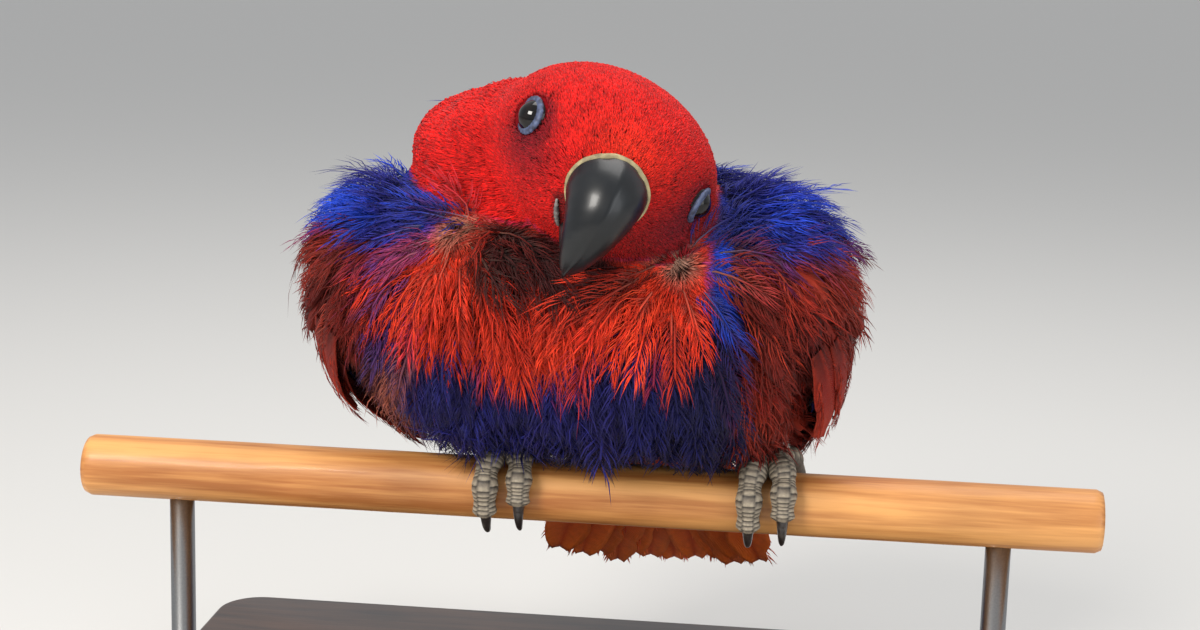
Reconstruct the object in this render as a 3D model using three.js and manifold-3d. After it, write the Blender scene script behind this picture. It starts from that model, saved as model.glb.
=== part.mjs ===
// A female eclectus parrot, life size, puffed up on a wooden perch with its head cocked.
// Millimetres. +Z is up, the bird faces -Y, and its own left side is +X.
// The origin is the middle of the underside of the stand's base.
import * as THREE from 'three';
import { mergeVertices } from 'three/addons/utils/BufferGeometryUtils.js';
import Module from 'manifold-3d';

const wasm = await Module();
wasm.setup();

// Driving dimensions
const GAP = 0.35; // kept between pieces that touch
const BASE = { width: 300, depth: 176, thickness: 12, corner: 16, y: 26 };
const PERCH = { radius: 10, length: 326, top: 104 };
const PERCH_AXIS = PERCH.top - PERCH.radius;
const ROD = { radius: 4, x: 132 };
const HEAD = {
  centre: new THREE.Vector3(8, -31, PERCH.top + 101),
  yaw: 7, // degrees, towards the bird's left
  pitch: 14, // degrees, bill down
  roll: 28, // degrees, crown towards the bird's left
  halfWidth: 35, // at the cheeks
  crown: 26,
  chin: 27,
  face: 29,
  nape: 31,
};
const NECK = {
  centre: new THREE.Vector3(-12, -1, PERCH.top + 91),
  half: new THREE.Vector3(46, 35, 27),
  tilt: 16, // degrees, falling towards the bird's right
};
const EYE = { radius: 5.2, forward: 13, up: 5, seat: 2.9, lid: 1.15 };
const BILL = { root: 19, halfWidth: 12 };
const NOSTRIL = { radius: 1.3, aside: 5.6, back: 27, up: 9.5 };
const FOOT_X = { left: 59, right: -24 };
const TOE = { radius: 3.7, reach: [112, 96, -96, -84], spread: [-5.4, 5.2, 7.5, -6.5] };
const CLAW = { radius: 2.5, reach: 46 };
const TARSUS_RADIUS = 4.3;
const TAIL = {
  root: new THREE.Vector3(16, 50, PERCH.top + 17),
  slope: 47, // degrees below the horizon
  length: 112,
  feathers: 12,
  halfWidth: 9.5,
  fan: 3.1, // degrees between neighbours
};
const VANE_THICKNESS = 0.8;

// Small helpers

const rad = THREE.MathUtils.degToRad;
const lerp = THREE.MathUtils.lerp;

/** A smooth curve through [position, value] pairs, as a function of position. */
function profile(pairs) {
  return (at) => {
    const last = pairs.length - 1;
    let i = 0;
    while (i < last - 1 && at > pairs[i + 1][0]) i += 1;
    const value = (k) => pairs[Math.min(last, Math.max(0, k))][1];
    const [start] = pairs[i];
    const [end] = pairs[i + 1];
    const t = THREE.MathUtils.clamp((at - start) / (end - start), 0, 1);
    const tangentIn = (value(i + 1) - value(i - 1)) / 2;
    const tangentOut = (value(i + 2) - value(i)) / 2;
    const t2 = t * t;
    const t3 = t2 * t;
    return (2 * t3 - 3 * t2 + 1) * value(i) + (t3 - 2 * t2 + t) * tangentIn
      + (3 * t2 - 2 * t3) * value(i + 1) + (t3 - t2) * tangentOut;
  };
}

/** A closed surface over rings of points, ending in a point at each end. */
function loft(rings, first, last) {
  const sides = rings[0].length;
  const points = [first, ...rings.flat(), last];
  const faces = [];
  const at = (ring, side) => 1 + ring * sides + (side % sides);
  for (let s = 0; s < sides; s += 1) {
    faces.push(0, at(0, s + 1), at(0, s));
    faces.push(points.length - 1, at(rings.length - 1, s), at(rings.length - 1, s + 1));
    for (let r = 0; r < rings.length - 1; r += 1) {
      faces.push(at(r, s), at(r, s + 1), at(r + 1, s + 1));
      faces.push(at(r, s), at(r + 1, s + 1), at(r + 1, s));
    }
  }
  return new THREE.BufferGeometry().setFromPoints(points).setIndex(faces);
}

/** A three.js geometry as a solid that can be cut and joined. */
function solid(geometry) {
  const bare = new THREE.BufferGeometry().setAttribute('position', geometry.getAttribute('position'));
  if (geometry.index) bare.setIndex(geometry.index);
  const merged = mergeVertices(bare, 1e-4);
  const made = new wasm.Manifold(new wasm.Mesh({
    numProp: 3,
    vertProperties: new Float32Array(merged.getAttribute('position').array),
    triVerts: new Uint32Array(merged.index.array),
  }));
  if (made.volume() > 0) return made;
  const turned = Uint32Array.from(merged.index.array);
  for (let i = 0; i < turned.length; i += 3) [turned[i], turned[i + 1]] = [turned[i + 1], turned[i]];
  return new wasm.Manifold(new wasm.Mesh({
    numProp: 3,
    vertProperties: new Float32Array(merged.getAttribute('position').array),
    triVerts: turned,
  }));
}

const join = (pieces) => pieces.reduce((whole, piece) => whole.add(piece));
const cut = (whole, ...cutters) => cutters.reduce((left, cutter) => left.subtract(cutter), whole);

/** The largest closed body of a solid, as a geometry. */
function geometryOf(made) {
  const largest = made.decompose().reduce((a, b) => (b.volume() > a.volume() ? b : a));
  const mesh = largest.getMesh();
  const positions = new Float32Array(mesh.numVert * 3);
  for (let i = 0; i < mesh.numVert; i += 1) {
    positions.set(mesh.vertProperties.subarray(i * mesh.numProp, i * mesh.numProp + 3), i * 3);
  }
  const geometry = new THREE.BufferGeometry()
    .setAttribute('position', new THREE.BufferAttribute(positions, 3))
    .setIndex(new THREE.BufferAttribute(mesh.triVerts, 1));
  geometry.computeVertexNormals();
  return geometry;
}

/** A round tube along a curve, with its radius from a function of 0 to 1, and a rounded end. */
function tube(curve, radiusAt, steps, sides) {
  const rings = [];
  const frames = curve.computeFrenetFrames(steps, false);
  for (let i = 0; i <= steps; i += 1) {
    const centre = curve.getPointAt(i / steps);
    rings.push(Array.from({ length: sides }, (_, s) => {
      const turn = (2 * Math.PI * s) / sides;
      return centre.clone()
        .addScaledVector(frames.normals[i], radiusAt(i / steps) * Math.cos(turn))
        .addScaledVector(frames.binormals[i], radiusAt(i / steps) * Math.sin(turn));
    }));
  }
  const cap = 0.6;
  const first = curve.getPointAt(0).addScaledVector(frames.tangents[0], -cap * radiusAt(0));
  const last = curve.getPointAt(1).addScaledVector(frames.tangents[steps], cap * radiusAt(1));
  return loft(rings, first, last);
}

/**
 * A feather's vane along a path, with a raised shaft. across(t) points to its right-hand edge,
 * and both faces are split into the same triangles.
 */
function vane({ path, across, halfWidth, steps = 4, tip = 0.35, thickness = VANE_THICKNESS, camber = 0.12 }) {
  const rings = [];
  for (let i = 0; i <= steps; i += 1) {
    const t = i / steps;
    const centre = path(t);
    const side = across(t).normalize();
    const along = path(Math.min(1, t + 0.02)).sub(path(Math.max(0, t - 0.02))).normalize();
    const up = new THREE.Vector3().crossVectors(side, along).normalize();
    const shape = lerp(0.55, 1, Math.min(1, t * 2.5)) * Math.sqrt(1 - (1 - tip) * Math.max(0, (t - 0.55) / 0.45) ** 2);
    const half = halfWidth * shape;
    const place = (x, z) => centre.clone().addScaledVector(side, x * half).addScaledVector(up, z);
    const drop = camber * half;
    const edge = thickness / 2;
    const shaft = thickness * 0.75;
    rings.push([
      place(-1, edge - drop), place(0, shaft), place(1, edge - drop),
      place(1, -edge - drop), place(0, -shaft), place(-1, -edge - drop),
    ]);
  }
  const end = path(1).addScaledVector(path(1).sub(path(0.95)).normalize(), halfWidth * tip * 0.5);
  return loft(rings, path(0), end);
}

// Body

/** How far the puffed coat reaches at a height above the perch: to the bird's right, left, front and back. */
const TORSO_REACH = {
  right: profile([[4, 40], [10, 56], [26, 72], [46, 79], [66, 79], [82, 70], [94, 50], [100, 28]]),
  left: profile([[4, 56], [10, 65], [26, 72], [46, 75], [66, 73], [82, 64], [94, 46], [100, 26]]),
  front: profile([[4, 12], [10, 24], [26, 41], [46, 49], [66, 48], [82, 38], [94, 22], [100, 8]]),
  back: profile([[4, 30], [10, 44], [26, 58], [46, 62], [66, 58], [82, 48], [94, 34], [100, 22]]),
};
const TORSO_LOW = 4;
const TORSO_HIGH = 100;

/** A point of the coat's surface: turn is degrees from the bird's left side, positive towards its back. */
function torsoPoint(turn, height, grow = 0) {
  const c = Math.cos(rad(turn));
  const s = Math.sin(rad(turn));
  const fullness = 0.9; // a little squarer than an ellipse
  const reachX = c > 0 ? TORSO_REACH.left(height) : TORSO_REACH.right(height);
  const reachY = s > 0 ? TORSO_REACH.back(height) : TORSO_REACH.front(height);
  return new THREE.Vector3(
    (reachX + grow) * Math.sign(c) * Math.abs(c) ** fullness,
    (reachY + grow) * Math.sign(s) * Math.abs(s) ** fullness,
    PERCH.top + height,
  );
}

function torsoSolid(grow = 0, rows = 13, sides = 28) {
  const rings = [];
  for (let r = 0; r <= rows; r += 1) {
    const height = lerp(TORSO_LOW, TORSO_HIGH, (1 - Math.cos((Math.PI * r) / rows)) / 2);
    rings.push(Array.from({ length: sides }, (_, s) => torsoPoint((360 * s) / sides, height, grow)));
  }
  const middle = new THREE.Vector3(10, 8, 0);
  const foot = middle.clone().setZ(PERCH.top + TORSO_LOW - 2.5 - grow);
  const top = new THREE.Vector3(0, 8, PERCH.top + TORSO_HIGH + 3 + grow);
  return solid(loft(rings, foot, top));
}

/** The outward direction of the coat at a turn and height. */
function torsoNormal(turn, height) {
  const step = 1;
  const round = torsoPoint(turn + step, height).sub(torsoPoint(turn - step, height));
  const rise = torsoPoint(turn, height + step).sub(torsoPoint(turn, height - step));
  return round.cross(rise).normalize();
}

function neckSolid(grow = 0) {
  const shape = new THREE.SphereGeometry(1, 24, 14);
  shape.scale(NECK.half.x + grow, NECK.half.y + grow, NECK.half.z + grow);
  shape.rotateY(rad(NECK.tilt));
  shape.translate(...NECK.centre.toArray());
  return solid(shape);
}

// Head, in its own frame: x to the bird's left, y backward from the bill, z to the crown
const headGroup = new THREE.Group();
headGroup.position.copy(HEAD.centre);
headGroup.rotation.set(rad(HEAD.pitch), rad(HEAD.roll), rad(HEAD.yaw), 'ZXY');
headGroup.updateMatrixWorld(true);
const inHead = (geometry) => geometry.applyMatrix4(headGroup.matrixWorld);

/** A point of the head's coat for a unit direction in the head's frame. */
function headPoint(direction, grow = 0) {
  const { x, y, z } = direction;
  const forward = Math.max(0, -y);
  const taper = 1 - 0.27 * forward ** 2; // the face is narrower than the cheeks
  const brow = 1 - 0.16 * forward ** 2 * Math.max(0, z);
  const point = new THREE.Vector3(
    x * HEAD.halfWidth * taper,
    y * (y < 0 ? HEAD.face : HEAD.nape),
    z * (z > 0 ? HEAD.crown * brow : HEAD.chin),
  );
  return point.addScaledVector(direction, grow);
}

function headShape(grow = 0, columns = 28, rows = 18) {
  const shape = new THREE.SphereGeometry(1, columns, rows);
  const position = shape.getAttribute('position');
  const direction = new THREE.Vector3();
  for (let i = 0; i < position.count; i += 1) {
    direction.fromBufferAttribute(position, i).normalize();
    position.setXYZ(i, ...headPoint(direction, grow).toArray());
  }
  return inHead(shape);
}

/** Where an eyeball's middle sits in the head's frame; side is 1 for the bird's left. */
function eyeCentre(side) {
  const direction = new THREE.Vector3(side * 0.87, -EYE.forward / HEAD.face, EYE.up / HEAD.crown).normalize();
  const surface = headPoint(direction);
  const outward = new THREE.Vector3(side * 0.93, -0.34, 0.1).normalize();
  return { centre: surface.clone().addScaledVector(outward, -EYE.seat), outward };
}

function eyeball(side, grow = 0) {
  const ball = new THREE.SphereGeometry(EYE.radius + grow, 14, 10);
  ball.translate(...eyeCentre(side).centre.toArray());
  return inHead(ball);
}

/** The ring of bare lid round an eye. */
function lidRing(side) {
  const { centre, outward } = eyeCentre(side);
  const ring = new THREE.TorusGeometry(EYE.radius - 0.5, EYE.lid, 5, 16);
  ring.applyQuaternion(new THREE.Quaternion().setFromUnitVectors(new THREE.Vector3(0, 0, 1), outward));
  ring.translate(...centre.clone().addScaledVector(outward, EYE.seat - 0.9).toArray());
  return inHead(ring);
}

// Bill

/** The upper bill's ridge line: out of the forehead, forward and down to the hooked tip. */
const RIDGE = new THREE.CubicBezierCurve3(
  new THREE.Vector3(0, -BILL.root, 11.5),
  new THREE.Vector3(0, -BILL.root - 25, 12),
  new THREE.Vector3(0, -BILL.root - 30, -9),
  new THREE.Vector3(0, -BILL.root - 16.5, -25),
);
/** The cutting edge under it, back at the corner of the mouth. */
const CUTTING_EDGE = new THREE.CubicBezierCurve3(
  new THREE.Vector3(0, -BILL.root + 2, -11),
  new THREE.Vector3(0, -BILL.root - 7, -13),
  new THREE.Vector3(0, -BILL.root - 12, -17),
  new THREE.Vector3(0, -BILL.root - 15.4, -24.4),
);

function upperBill(grow = 0, steps = 9, sides = 14) {
  const rings = [];
  for (let i = 0; i <= steps; i += 1) {
    const t = i / steps;
    const ridge = RIDGE.getPoint(t);
    const edge = CUTTING_EDGE.getPoint(t);
    const middle = ridge.clone().add(edge).multiplyScalar(0.5);
    const up = ridge.clone().sub(edge).multiplyScalar(0.5);
    const half = BILL.halfWidth * (1 - t) ** 0.62 * (1 - 0.1 * t) + 0.9 + grow;
    rings.push(Array.from({ length: sides }, (_, s) => {
      const turn = (2 * Math.PI * s) / sides;
      const lift = Math.sin(turn);
      const keel = lift > 0 ? 1 - 0.12 * lift ** 3 : 1 - 0.3 * lift ** 2;
      return middle.clone()
        .add(new THREE.Vector3(half * Math.cos(turn) * keel, 0, 0))
        .addScaledVector(up, lift * (1 + grow / up.length()));
    }));
  }
  const root = new THREE.Vector3(0, -BILL.root + 6, 0);
  const hook = RIDGE.getPoint(1).add(new THREE.Vector3(0, 0.5, -1.6 - grow));
  return inHead(loft(rings, root, hook));
}

/** A nostril's hollow, in the soft edge above the upper bill. */
function nostril(side) {
  const hollow = new THREE.SphereGeometry(NOSTRIL.radius, 8, 6);
  hollow.translate(side * NOSTRIL.aside, -NOSTRIL.back, NOSTRIL.up);
  return solid(inHead(hollow));
}

/** The lower bill: a short scoop tucked behind the upper one. */
function lowerBill() {
  const scoop = new THREE.CatmullRomCurve3([
    new THREE.Vector3(0, -BILL.root + 3, -13.5),
    new THREE.Vector3(0, -BILL.root - 4, -18),
    new THREE.Vector3(0, -BILL.root - 9.5, -21.2),
  ]);
  const shape = tube(scoop, (t) => lerp(7.6, 3.4, t), 6, 14);
  return inHead(shape);
}

// Wings

/**
 * A feather that lies on the coat: from one turn and height to another, lifted off the surface.
 * Its end trails clear of the body by some millimetres, back and down beside the tail.
 */
function coatVane({ side, from, to, lift, halfWidth, trail = 0, steps = 3, tip = 0.3 }) {
  const mirrored = (turn) => (side > 0 ? turn : 180 - turn);
  const place = (t) => ({
    turn: mirrored(lerp(from.turn, to.turn, t)),
    height: lerp(from.height, to.height, t) + 5 * t * (1 - t),
  });
  const path = (t) => {
    const { turn, height } = place(t);
    return torsoPoint(turn, height)
      .addScaledVector(torsoNormal(turn, height), lerp(lift[0], lift[1], t))
      .addScaledVector(TRAIL_DIRECTION, trail * Math.max(0, 1.6 * t - 0.6));
  };
  const across = (t) => {
    const { turn, height } = place(t);
    const along = path(Math.min(1, t + 0.03)).sub(path(Math.max(0, t - 0.03))).normalize();
    return along.cross(torsoNormal(turn, height));
  };
  return solid(vane({ path, across, halfWidth, steps, tip }));
}

/** The padded shield of small coverts over a folded wing. */
function wingCore(side) {
  const shape = new THREE.SphereGeometry(1, 16, 10);
  const position = shape.getAttribute('position');
  for (let i = 0; i < position.count; i += 1) {
    const [u, v, w] = [position.getX(i), position.getY(i), position.getZ(i)];
    const height = 58 + 33 * v;
    const turn = 6 + 40 * u - 0.25 * (height - 58);
    const away = w > 0 ? 1.5 + 8 * w : 1.5 + 4 * w;
    const at = side > 0 ? turn : 180 - turn;
    position.setXYZ(i, ...torsoPoint(at, height).addScaledVector(torsoNormal(at, height), away).toArray());
  }
  return solid(shape);
}

const TRAIL_DIRECTION = new THREE.Vector3(0, 0.78, -0.62);

/** Rows of feathers from the outermost in: k runs from 0 at the wing's front edge to 1 at the back. */
const WING_TIERS = [
  { // greater coverts
    count: 7,
    from: (k) => ({ turn: lerp(-26, 38, k), height: lerp(46, 66, k) }),
    to: (k) => ({ turn: lerp(-8, 56, k), height: lerp(20, 42, k) }),
    lift: [6.4, 8.6],
    halfWidth: 7.8,
    trail: 0,
  },
  { // secondaries
    count: 7,
    from: (k) => ({ turn: lerp(-20, 36, k), height: lerp(36, 56, k) }),
    to: (k) => ({ turn: lerp(12, 58, k), height: lerp(8, 28, k) }),
    lift: [4, 5.8],
    halfWidth: 8.2,
    trail: 8,
  },
  { // primaries
    count: 6,
    from: (k) => ({ turn: lerp(-10, 20, k), height: lerp(28, 36, k) }),
    to: (k) => ({ turn: lerp(36, 56, k), height: lerp(9, 20, k) }),
    lift: [1.8, 3],
    halfWidth: 6.4,
    trail: 40,
  },
];
const SHINGLE = 1.2; // how far every other feather of a row is raised over its neighbours

function wing(side) {
  const pieces = [wingCore(side)];
  for (const tier of WING_TIERS) {
    for (let i = 0; i < tier.count; i += 1) {
      const k = i / (tier.count - 1);
      const raised = SHINGLE * (i % 2);
      pieces.push(coatVane({
        side,
        from: tier.from(k),
        to: tier.to(k),
        lift: tier.lift.map((lift) => lift + raised),
        halfWidth: tier.halfWidth,
        trail: tier.trail * (0.55 + 0.45 * k),
      }));
    }
  }
  return join(pieces);
}

// Tail

/** Directions of the tail: along it, across to the bird's left, and out of its back. */
const TAIL_ALONG = new THREE.Vector3(0.03, Math.cos(rad(TAIL.slope)), -Math.sin(rad(TAIL.slope))).normalize();
const TAIL_ACROSS = new THREE.Vector3(1, 0, 0);
const TAIL_OUT = new THREE.Vector3().crossVectors(TAIL_ACROSS, TAIL_ALONG).normalize();

function tailFeather({ place, length, halfWidth, fan, level, start = 0, tip = 0.45 }) {
  const along = TAIL_ALONG.clone().applyAxisAngle(TAIL_OUT, rad(-fan));
  const path = (t) => TAIL.root.clone()
    .addScaledVector(TAIL_ACROSS, place)
    .addScaledVector(along, start + length * t)
    .addScaledVector(TAIL_OUT, level - 5 * t * t);
  const across = () => TAIL_ACROSS.clone().applyAxisAngle(TAIL_OUT, rad(-fan));
  return solid(vane({ path, across, halfWidth, tip, steps: 3 }));
}

function tail() {
  const pieces = [];
  const middle = (TAIL.feathers - 1) / 2;
  for (let i = 0; i < TAIL.feathers; i += 1) {
    const k = i - middle;
    const order = 2 * (Math.abs(k) - 0.5) + (k < 0 ? 1 : 0);
    pieces.push(tailFeather({
      place: 1.7 * k,
      length: TAIL.length - 0.55 * k * k + 1.5 * Math.sin(3 * i),
      halfWidth: TAIL.halfWidth,
      fan: TAIL.fan * k,
      level: 2 - 1.15 * order,
    }));
  }
  const coverts = 4;
  for (let i = 0; i < coverts; i += 1) {
    const k = i - (coverts - 1) / 2;
    const shared = { place: 4.2 * k, halfWidth: 6.4, fan: 4 * k, start: 4, tip: 0.3 };
    pieces.push(tailFeather({ ...shared, length: 50 - 2 * k * k, level: 5.4 - 1.2 * Math.abs(k) }));
    pieces.push(tailFeather({ ...shared, length: 56 - 3 * k * k, level: -15.5 + 0.9 * Math.abs(k) }));
  }
  const rump = new THREE.SphereGeometry(1, 12, 8);
  rump.scale(15, 15, 9);
  rump.applyMatrix4(new THREE.Matrix4().makeBasis(TAIL_ACROSS, TAIL_ALONG, TAIL_OUT.clone()));
  rump.translate(...TAIL.root.clone().addScaledVector(TAIL_ALONG, 6).addScaledVector(TAIL_OUT, -4.5).toArray());
  return join([...pieces, solid(rump)]);
}

// Legs and feet

/** A toe's middle line round the perch: reach in degrees, positive over the front. */
class ToeCurve extends THREE.Curve {
  constructor(footX, spread, from, to, clearance) {
    super();
    Object.assign(this, { footX, spread, from, to, clearance });
  }

  getPoint(t, target = new THREE.Vector3()) {
    const turn = rad(lerp(this.from, this.to, t));
    const opened = this.spread * Math.sin(Math.min(1, 1.6 * t + this.opened()) * Math.PI * 0.5);
    const away = PERCH.radius + this.clearance(t);
    return target.set(this.footX + opened, -away * Math.sin(turn), PERCH_AXIS + away * Math.cos(turn));
  }

  opened() {
    return Math.abs(this.from) > 20 ? 1 : 0.1;
  }
}

function toeShape(footX, index, grow = 0) {
  const radiusAt = (t) => TOE.radius * (1 - 0.12 * t + 0.07 * Math.cos(t * Math.PI * 6)) + grow;
  const curve = new ToeCurve(footX, TOE.spread[index], 0, TOE.reach[index], (t) => GAP + radiusAt(t) - grow);
  return tube(curve, radiusAt, 6, 7);
}

function clawShape(footX, index) {
  const reach = TOE.reach[index];
  const from = reach + Math.sign(reach) * 13;
  const radiusAt = (t) => CLAW.radius * (1 - t) ** 0.8 + 0.35;
  const curve = new ToeCurve(
    footX,
    TOE.spread[index],
    from,
    from + Math.sign(reach) * CLAW.reach,
    (t) => GAP + 2.6 + 1.6 * Math.sin(t * Math.PI * 0.8) - 1.4 * t,
  );
  return tube(curve, radiusAt, 4, 6);
}

function tarsusCurve(footX) {
  return new THREE.CatmullRomCurve3([
    new THREE.Vector3(footX, 0, PERCH.top + 2.6),
    new THREE.Vector3(footX, 2, PERCH.top + 9),
    new THREE.Vector3(footX - 2, 7, PERCH.top + 24),
  ]);
}

function legSolid(side, grow = 0) {
  const footX = FOOT_X[side];
  const toes = TOE.reach.map((_, index) => solid(toeShape(footX, index, grow)));
  const tarsus = solid(tube(tarsusCurve(footX), (t) => TARSUS_RADIUS + 0.8 * (1 - t) + grow, 4, 10));
  return join([...toes, tarsus]);
}

/** Room for a foot and leg inside the coat: simple shapes a little larger than they are. */
function footRoom(side) {
  const grip = new THREE.CylinderGeometry(1, 1, 1, 20);
  const reach = PERCH.radius + 2 * (GAP + TOE.radius * 1.07) + GAP;
  grip.rotateZ(Math.PI / 2);
  grip.scale(23, reach, reach);
  grip.translate(FOOT_X[side], 0, PERCH_AXIS);
  const shank = tube(tarsusCurve(FOOT_X[side]), () => TARSUS_RADIUS + 0.8 + GAP, 3, 10);
  return join([solid(grip), solid(shank)]);
}

/** The closed metal band round the bird's left leg. */
function legBand(grow = 0) {
  const inner = TARSUS_RADIUS + 1.3;
  const outer = inner + 0.9 + grow;
  const half = 1.7 + grow;
  const round = [
    new THREE.Vector2(inner, -half), new THREE.Vector2(outer, -half),
    new THREE.Vector2(outer, half), new THREE.Vector2(inner, half), new THREE.Vector2(inner, -half),
  ];
  const shape = new THREE.LatheGeometry(round, 24);
  shape.rotateX(Math.PI / 2);
  shape.rotateX(rad(-14));
  shape.translate(FOOT_X.left, 2.3, PERCH.top + 9.4);
  return solid(shape);
}

// Perch and stand

function perch(grow = 0) {
  const shape = new THREE.CylinderGeometry(PERCH.radius + grow, PERCH.radius + grow, PERCH.length, 40);
  shape.rotateZ(Math.PI / 2);
  shape.translate(0, 0, PERCH_AXIS);
  return solid(shape);
}

function standBase() {
  const outline = new THREE.Shape();
  const [w, d, r] = [BASE.width / 2, BASE.depth / 2, BASE.corner];
  outline.moveTo(w - r, -d);
  outline.absarc(w - r, -d + r, r, -Math.PI / 2, 0, false);
  outline.absarc(w - r, d - r, r, 0, Math.PI / 2, false);
  outline.absarc(-w + r, d - r, r, Math.PI / 2, Math.PI, false);
  outline.absarc(-w + r, -d + r, r, Math.PI, Math.PI * 1.5, false);
  const shape = new THREE.ExtrudeGeometry(outline, { depth: BASE.thickness, bevelEnabled: false, curveSegments: 5 });
  shape.translate(0, BASE.y, 0);
  return solid(shape);
}

function standRod(x) {
  const bottom = BASE.thickness + GAP;
  const top = PERCH_AXIS;
  const shape = new THREE.CylinderGeometry(ROD.radius, ROD.radius, top - bottom, 20);
  shape.rotateX(Math.PI / 2);
  shape.translate(x, 0, (top + bottom) / 2);
  return cut(solid(shape), perch(GAP));
}

// Assembly

const head = solid(headShape());
const headCutter = solid(headShape(GAP));
const torsoCutter = torsoSolid(GAP);
const legs = { left: cut(legSolid('left'), perch(GAP)), right: cut(legSolid('right'), perch(GAP)) };
const band = legBand();
const wings = { left: wing(1), right: wing(-1) };

const nodes = new THREE.Group();

const MATERIALS = {
  scarlet: new THREE.MeshStandardMaterial({ color: 0xb3161b, roughness: 0.75 }),
  crimson: new THREE.MeshStandardMaterial({ color: 0xa82a16, roughness: 0.8 }),
  violet: new THREE.MeshStandardMaterial({ color: 0x24207a, roughness: 0.75 }),
  maroon: new THREE.MeshStandardMaterial({ color: 0x5e1410, roughness: 0.7 }),
  orange: new THREE.MeshStandardMaterial({ color: 0xb8431a, roughness: 0.7 }),
  bill: new THREE.MeshStandardMaterial({ color: 0x15171a, roughness: 0.35 }),
  eye: new THREE.MeshStandardMaterial({ color: 0x050506, roughness: 0.05 }),
  scutes: new THREE.MeshStandardMaterial({ color: 0x8a8074, roughness: 0.8 }),
  claw: new THREE.MeshStandardMaterial({ color: 0x2a2523, roughness: 0.4 }),
  metal: new THREE.MeshStandardMaterial({ color: 0xa9a9a6, roughness: 0.3, metalness: 1 }),
  wood: new THREE.MeshStandardMaterial({ color: 0xd99a55, roughness: 0.55 }),
  stand: new THREE.MeshStandardMaterial({ color: 0x2b2a29, roughness: 0.5 }),
};

function add(name, made, material) {
  const mesh = new THREE.Mesh(geometryOf(made), MATERIALS[material]);
  mesh.name = name;
  nodes.add(mesh);
}

const upper = cut(solid(upperBill()), headCutter, nostril(1), nostril(-1));
const sockets = [1, -1].map((side) => solid(eyeball(side, GAP)));
const lids = [1, -1].map((side) => solid(lidRing(side)));
add('head', cut(join([head, ...lids]), ...sockets), 'scarlet');
add('neck', cut(neckSolid(), headCutter), 'scarlet');
const bandRoom = legBand(1.2);
const legRoom = [footRoom('left'), footRoom('right')];
add('torso', cut(torsoSolid(), headCutter, neckSolid(GAP), ...legRoom, bandRoom), 'crimson');
add('bill_upper', upper, 'bill');
add('bill_lower', cut(solid(lowerBill()), headCutter, solid(upperBill(GAP))), 'bill');
add('eye_left', solid(eyeball(1)), 'eye');
add('eye_right', solid(eyeball(-1)), 'eye');

for (const [side, made] of Object.entries(wings)) {
  add(`wing_${side}`, cut(made, torsoCutter, neckSolid(GAP), perch(GAP), ...legRoom), 'maroon');
}
add('tail', cut(tail(), torsoSolid(GAP), perch(GAP)), 'orange');

for (const side of ['left', 'right']) {
  add(`leg_${side}`, legs[side], 'scutes');
  TOE.reach.forEach((_, index) => {
    const claw = cut(solid(clawShape(FOOT_X[side], index)), legSolid(side, GAP), perch(GAP));
    add(`claw_${side}_${index + 1}`, claw, 'claw');
  });
}
add('leg_band', band, 'metal');
add('perch', perch(), 'wood');
add('stand_base', standBase(), 'stand');
add('stand_rod_left', standRod(ROD.x), 'stand');
add('stand_rod_right', standRod(-ROD.x), 'stand');

export default nodes;
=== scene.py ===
"""A female eclectus parrot, puffed up on its perch: the looks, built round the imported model.

Shapes are worked out in millimetres in the part's own frame (+Z up, the bird faces -Y, its own
left is +X) and turned into metres when a mesh is made.
"""

import math
from collections import namedtuple
from functools import partial

import bpy
import numpy as np
from mathutils import Matrix, Vector, noise
from mathutils.bvhtree import BVHTree
from mathutils.geometry import interpolate_bezier


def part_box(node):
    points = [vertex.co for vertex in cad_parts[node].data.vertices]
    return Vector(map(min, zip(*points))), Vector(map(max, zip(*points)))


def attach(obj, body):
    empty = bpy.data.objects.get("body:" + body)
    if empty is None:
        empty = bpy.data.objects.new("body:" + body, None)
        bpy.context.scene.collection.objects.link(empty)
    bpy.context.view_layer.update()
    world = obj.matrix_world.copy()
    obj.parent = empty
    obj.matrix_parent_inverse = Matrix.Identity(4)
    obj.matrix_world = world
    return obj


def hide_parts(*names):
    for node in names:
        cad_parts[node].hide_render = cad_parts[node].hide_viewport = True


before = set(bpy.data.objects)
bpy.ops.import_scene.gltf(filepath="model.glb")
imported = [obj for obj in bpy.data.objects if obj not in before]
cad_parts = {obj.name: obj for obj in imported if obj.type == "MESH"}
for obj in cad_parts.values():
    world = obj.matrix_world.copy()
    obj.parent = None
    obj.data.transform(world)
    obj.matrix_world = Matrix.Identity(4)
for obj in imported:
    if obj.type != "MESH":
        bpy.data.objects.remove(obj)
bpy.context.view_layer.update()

MM = 0.001
rng = np.random.default_rng(11)

# Driving sizes in millimetres, as in the solids unless a comment says otherwise

perch_low, perch_high = (np.array(corner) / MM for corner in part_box("perch"))
PERCH_RADIUS = (perch_high[2] - perch_low[2]) / 2
PERCH_TOP = perch_high[2]
PERCH_AXIS = PERCH_TOP - PERCH_RADIUS
PERCH_HALF = perch_high[0]
HEAD_CENTRE = np.array([8.0, -31.0, PERCH_TOP + 101])
HEAD_TURN = {"yaw": 7, "pitch": 14, "roll": 28}  # degrees
HEAD_SIDE, HEAD_FRONT, HEAD_BACK, HEAD_UP, HEAD_DOWN = 35.0, 29.0, 31.0, 26.0, 27.0
HEAD_HALF = np.array([HEAD_SIDE, (HEAD_FRONT + HEAD_BACK) / 2, (HEAD_UP + HEAD_DOWN) / 2])
NECK_CENTRE = np.array([-12.0, -1.0, PERCH_TOP + 91])
NECK_HALF = np.array([46.0, 35.0, 27.0])
NECK_TILT = 16  # degrees
CHEEK_CENTRE = np.array([-15.0, -17.0, PERCH_TOP + 106.5])  # not in the solids: fills their dip
CHEEK_HALF = np.array([29.0, 24.0, 18.0])
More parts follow.
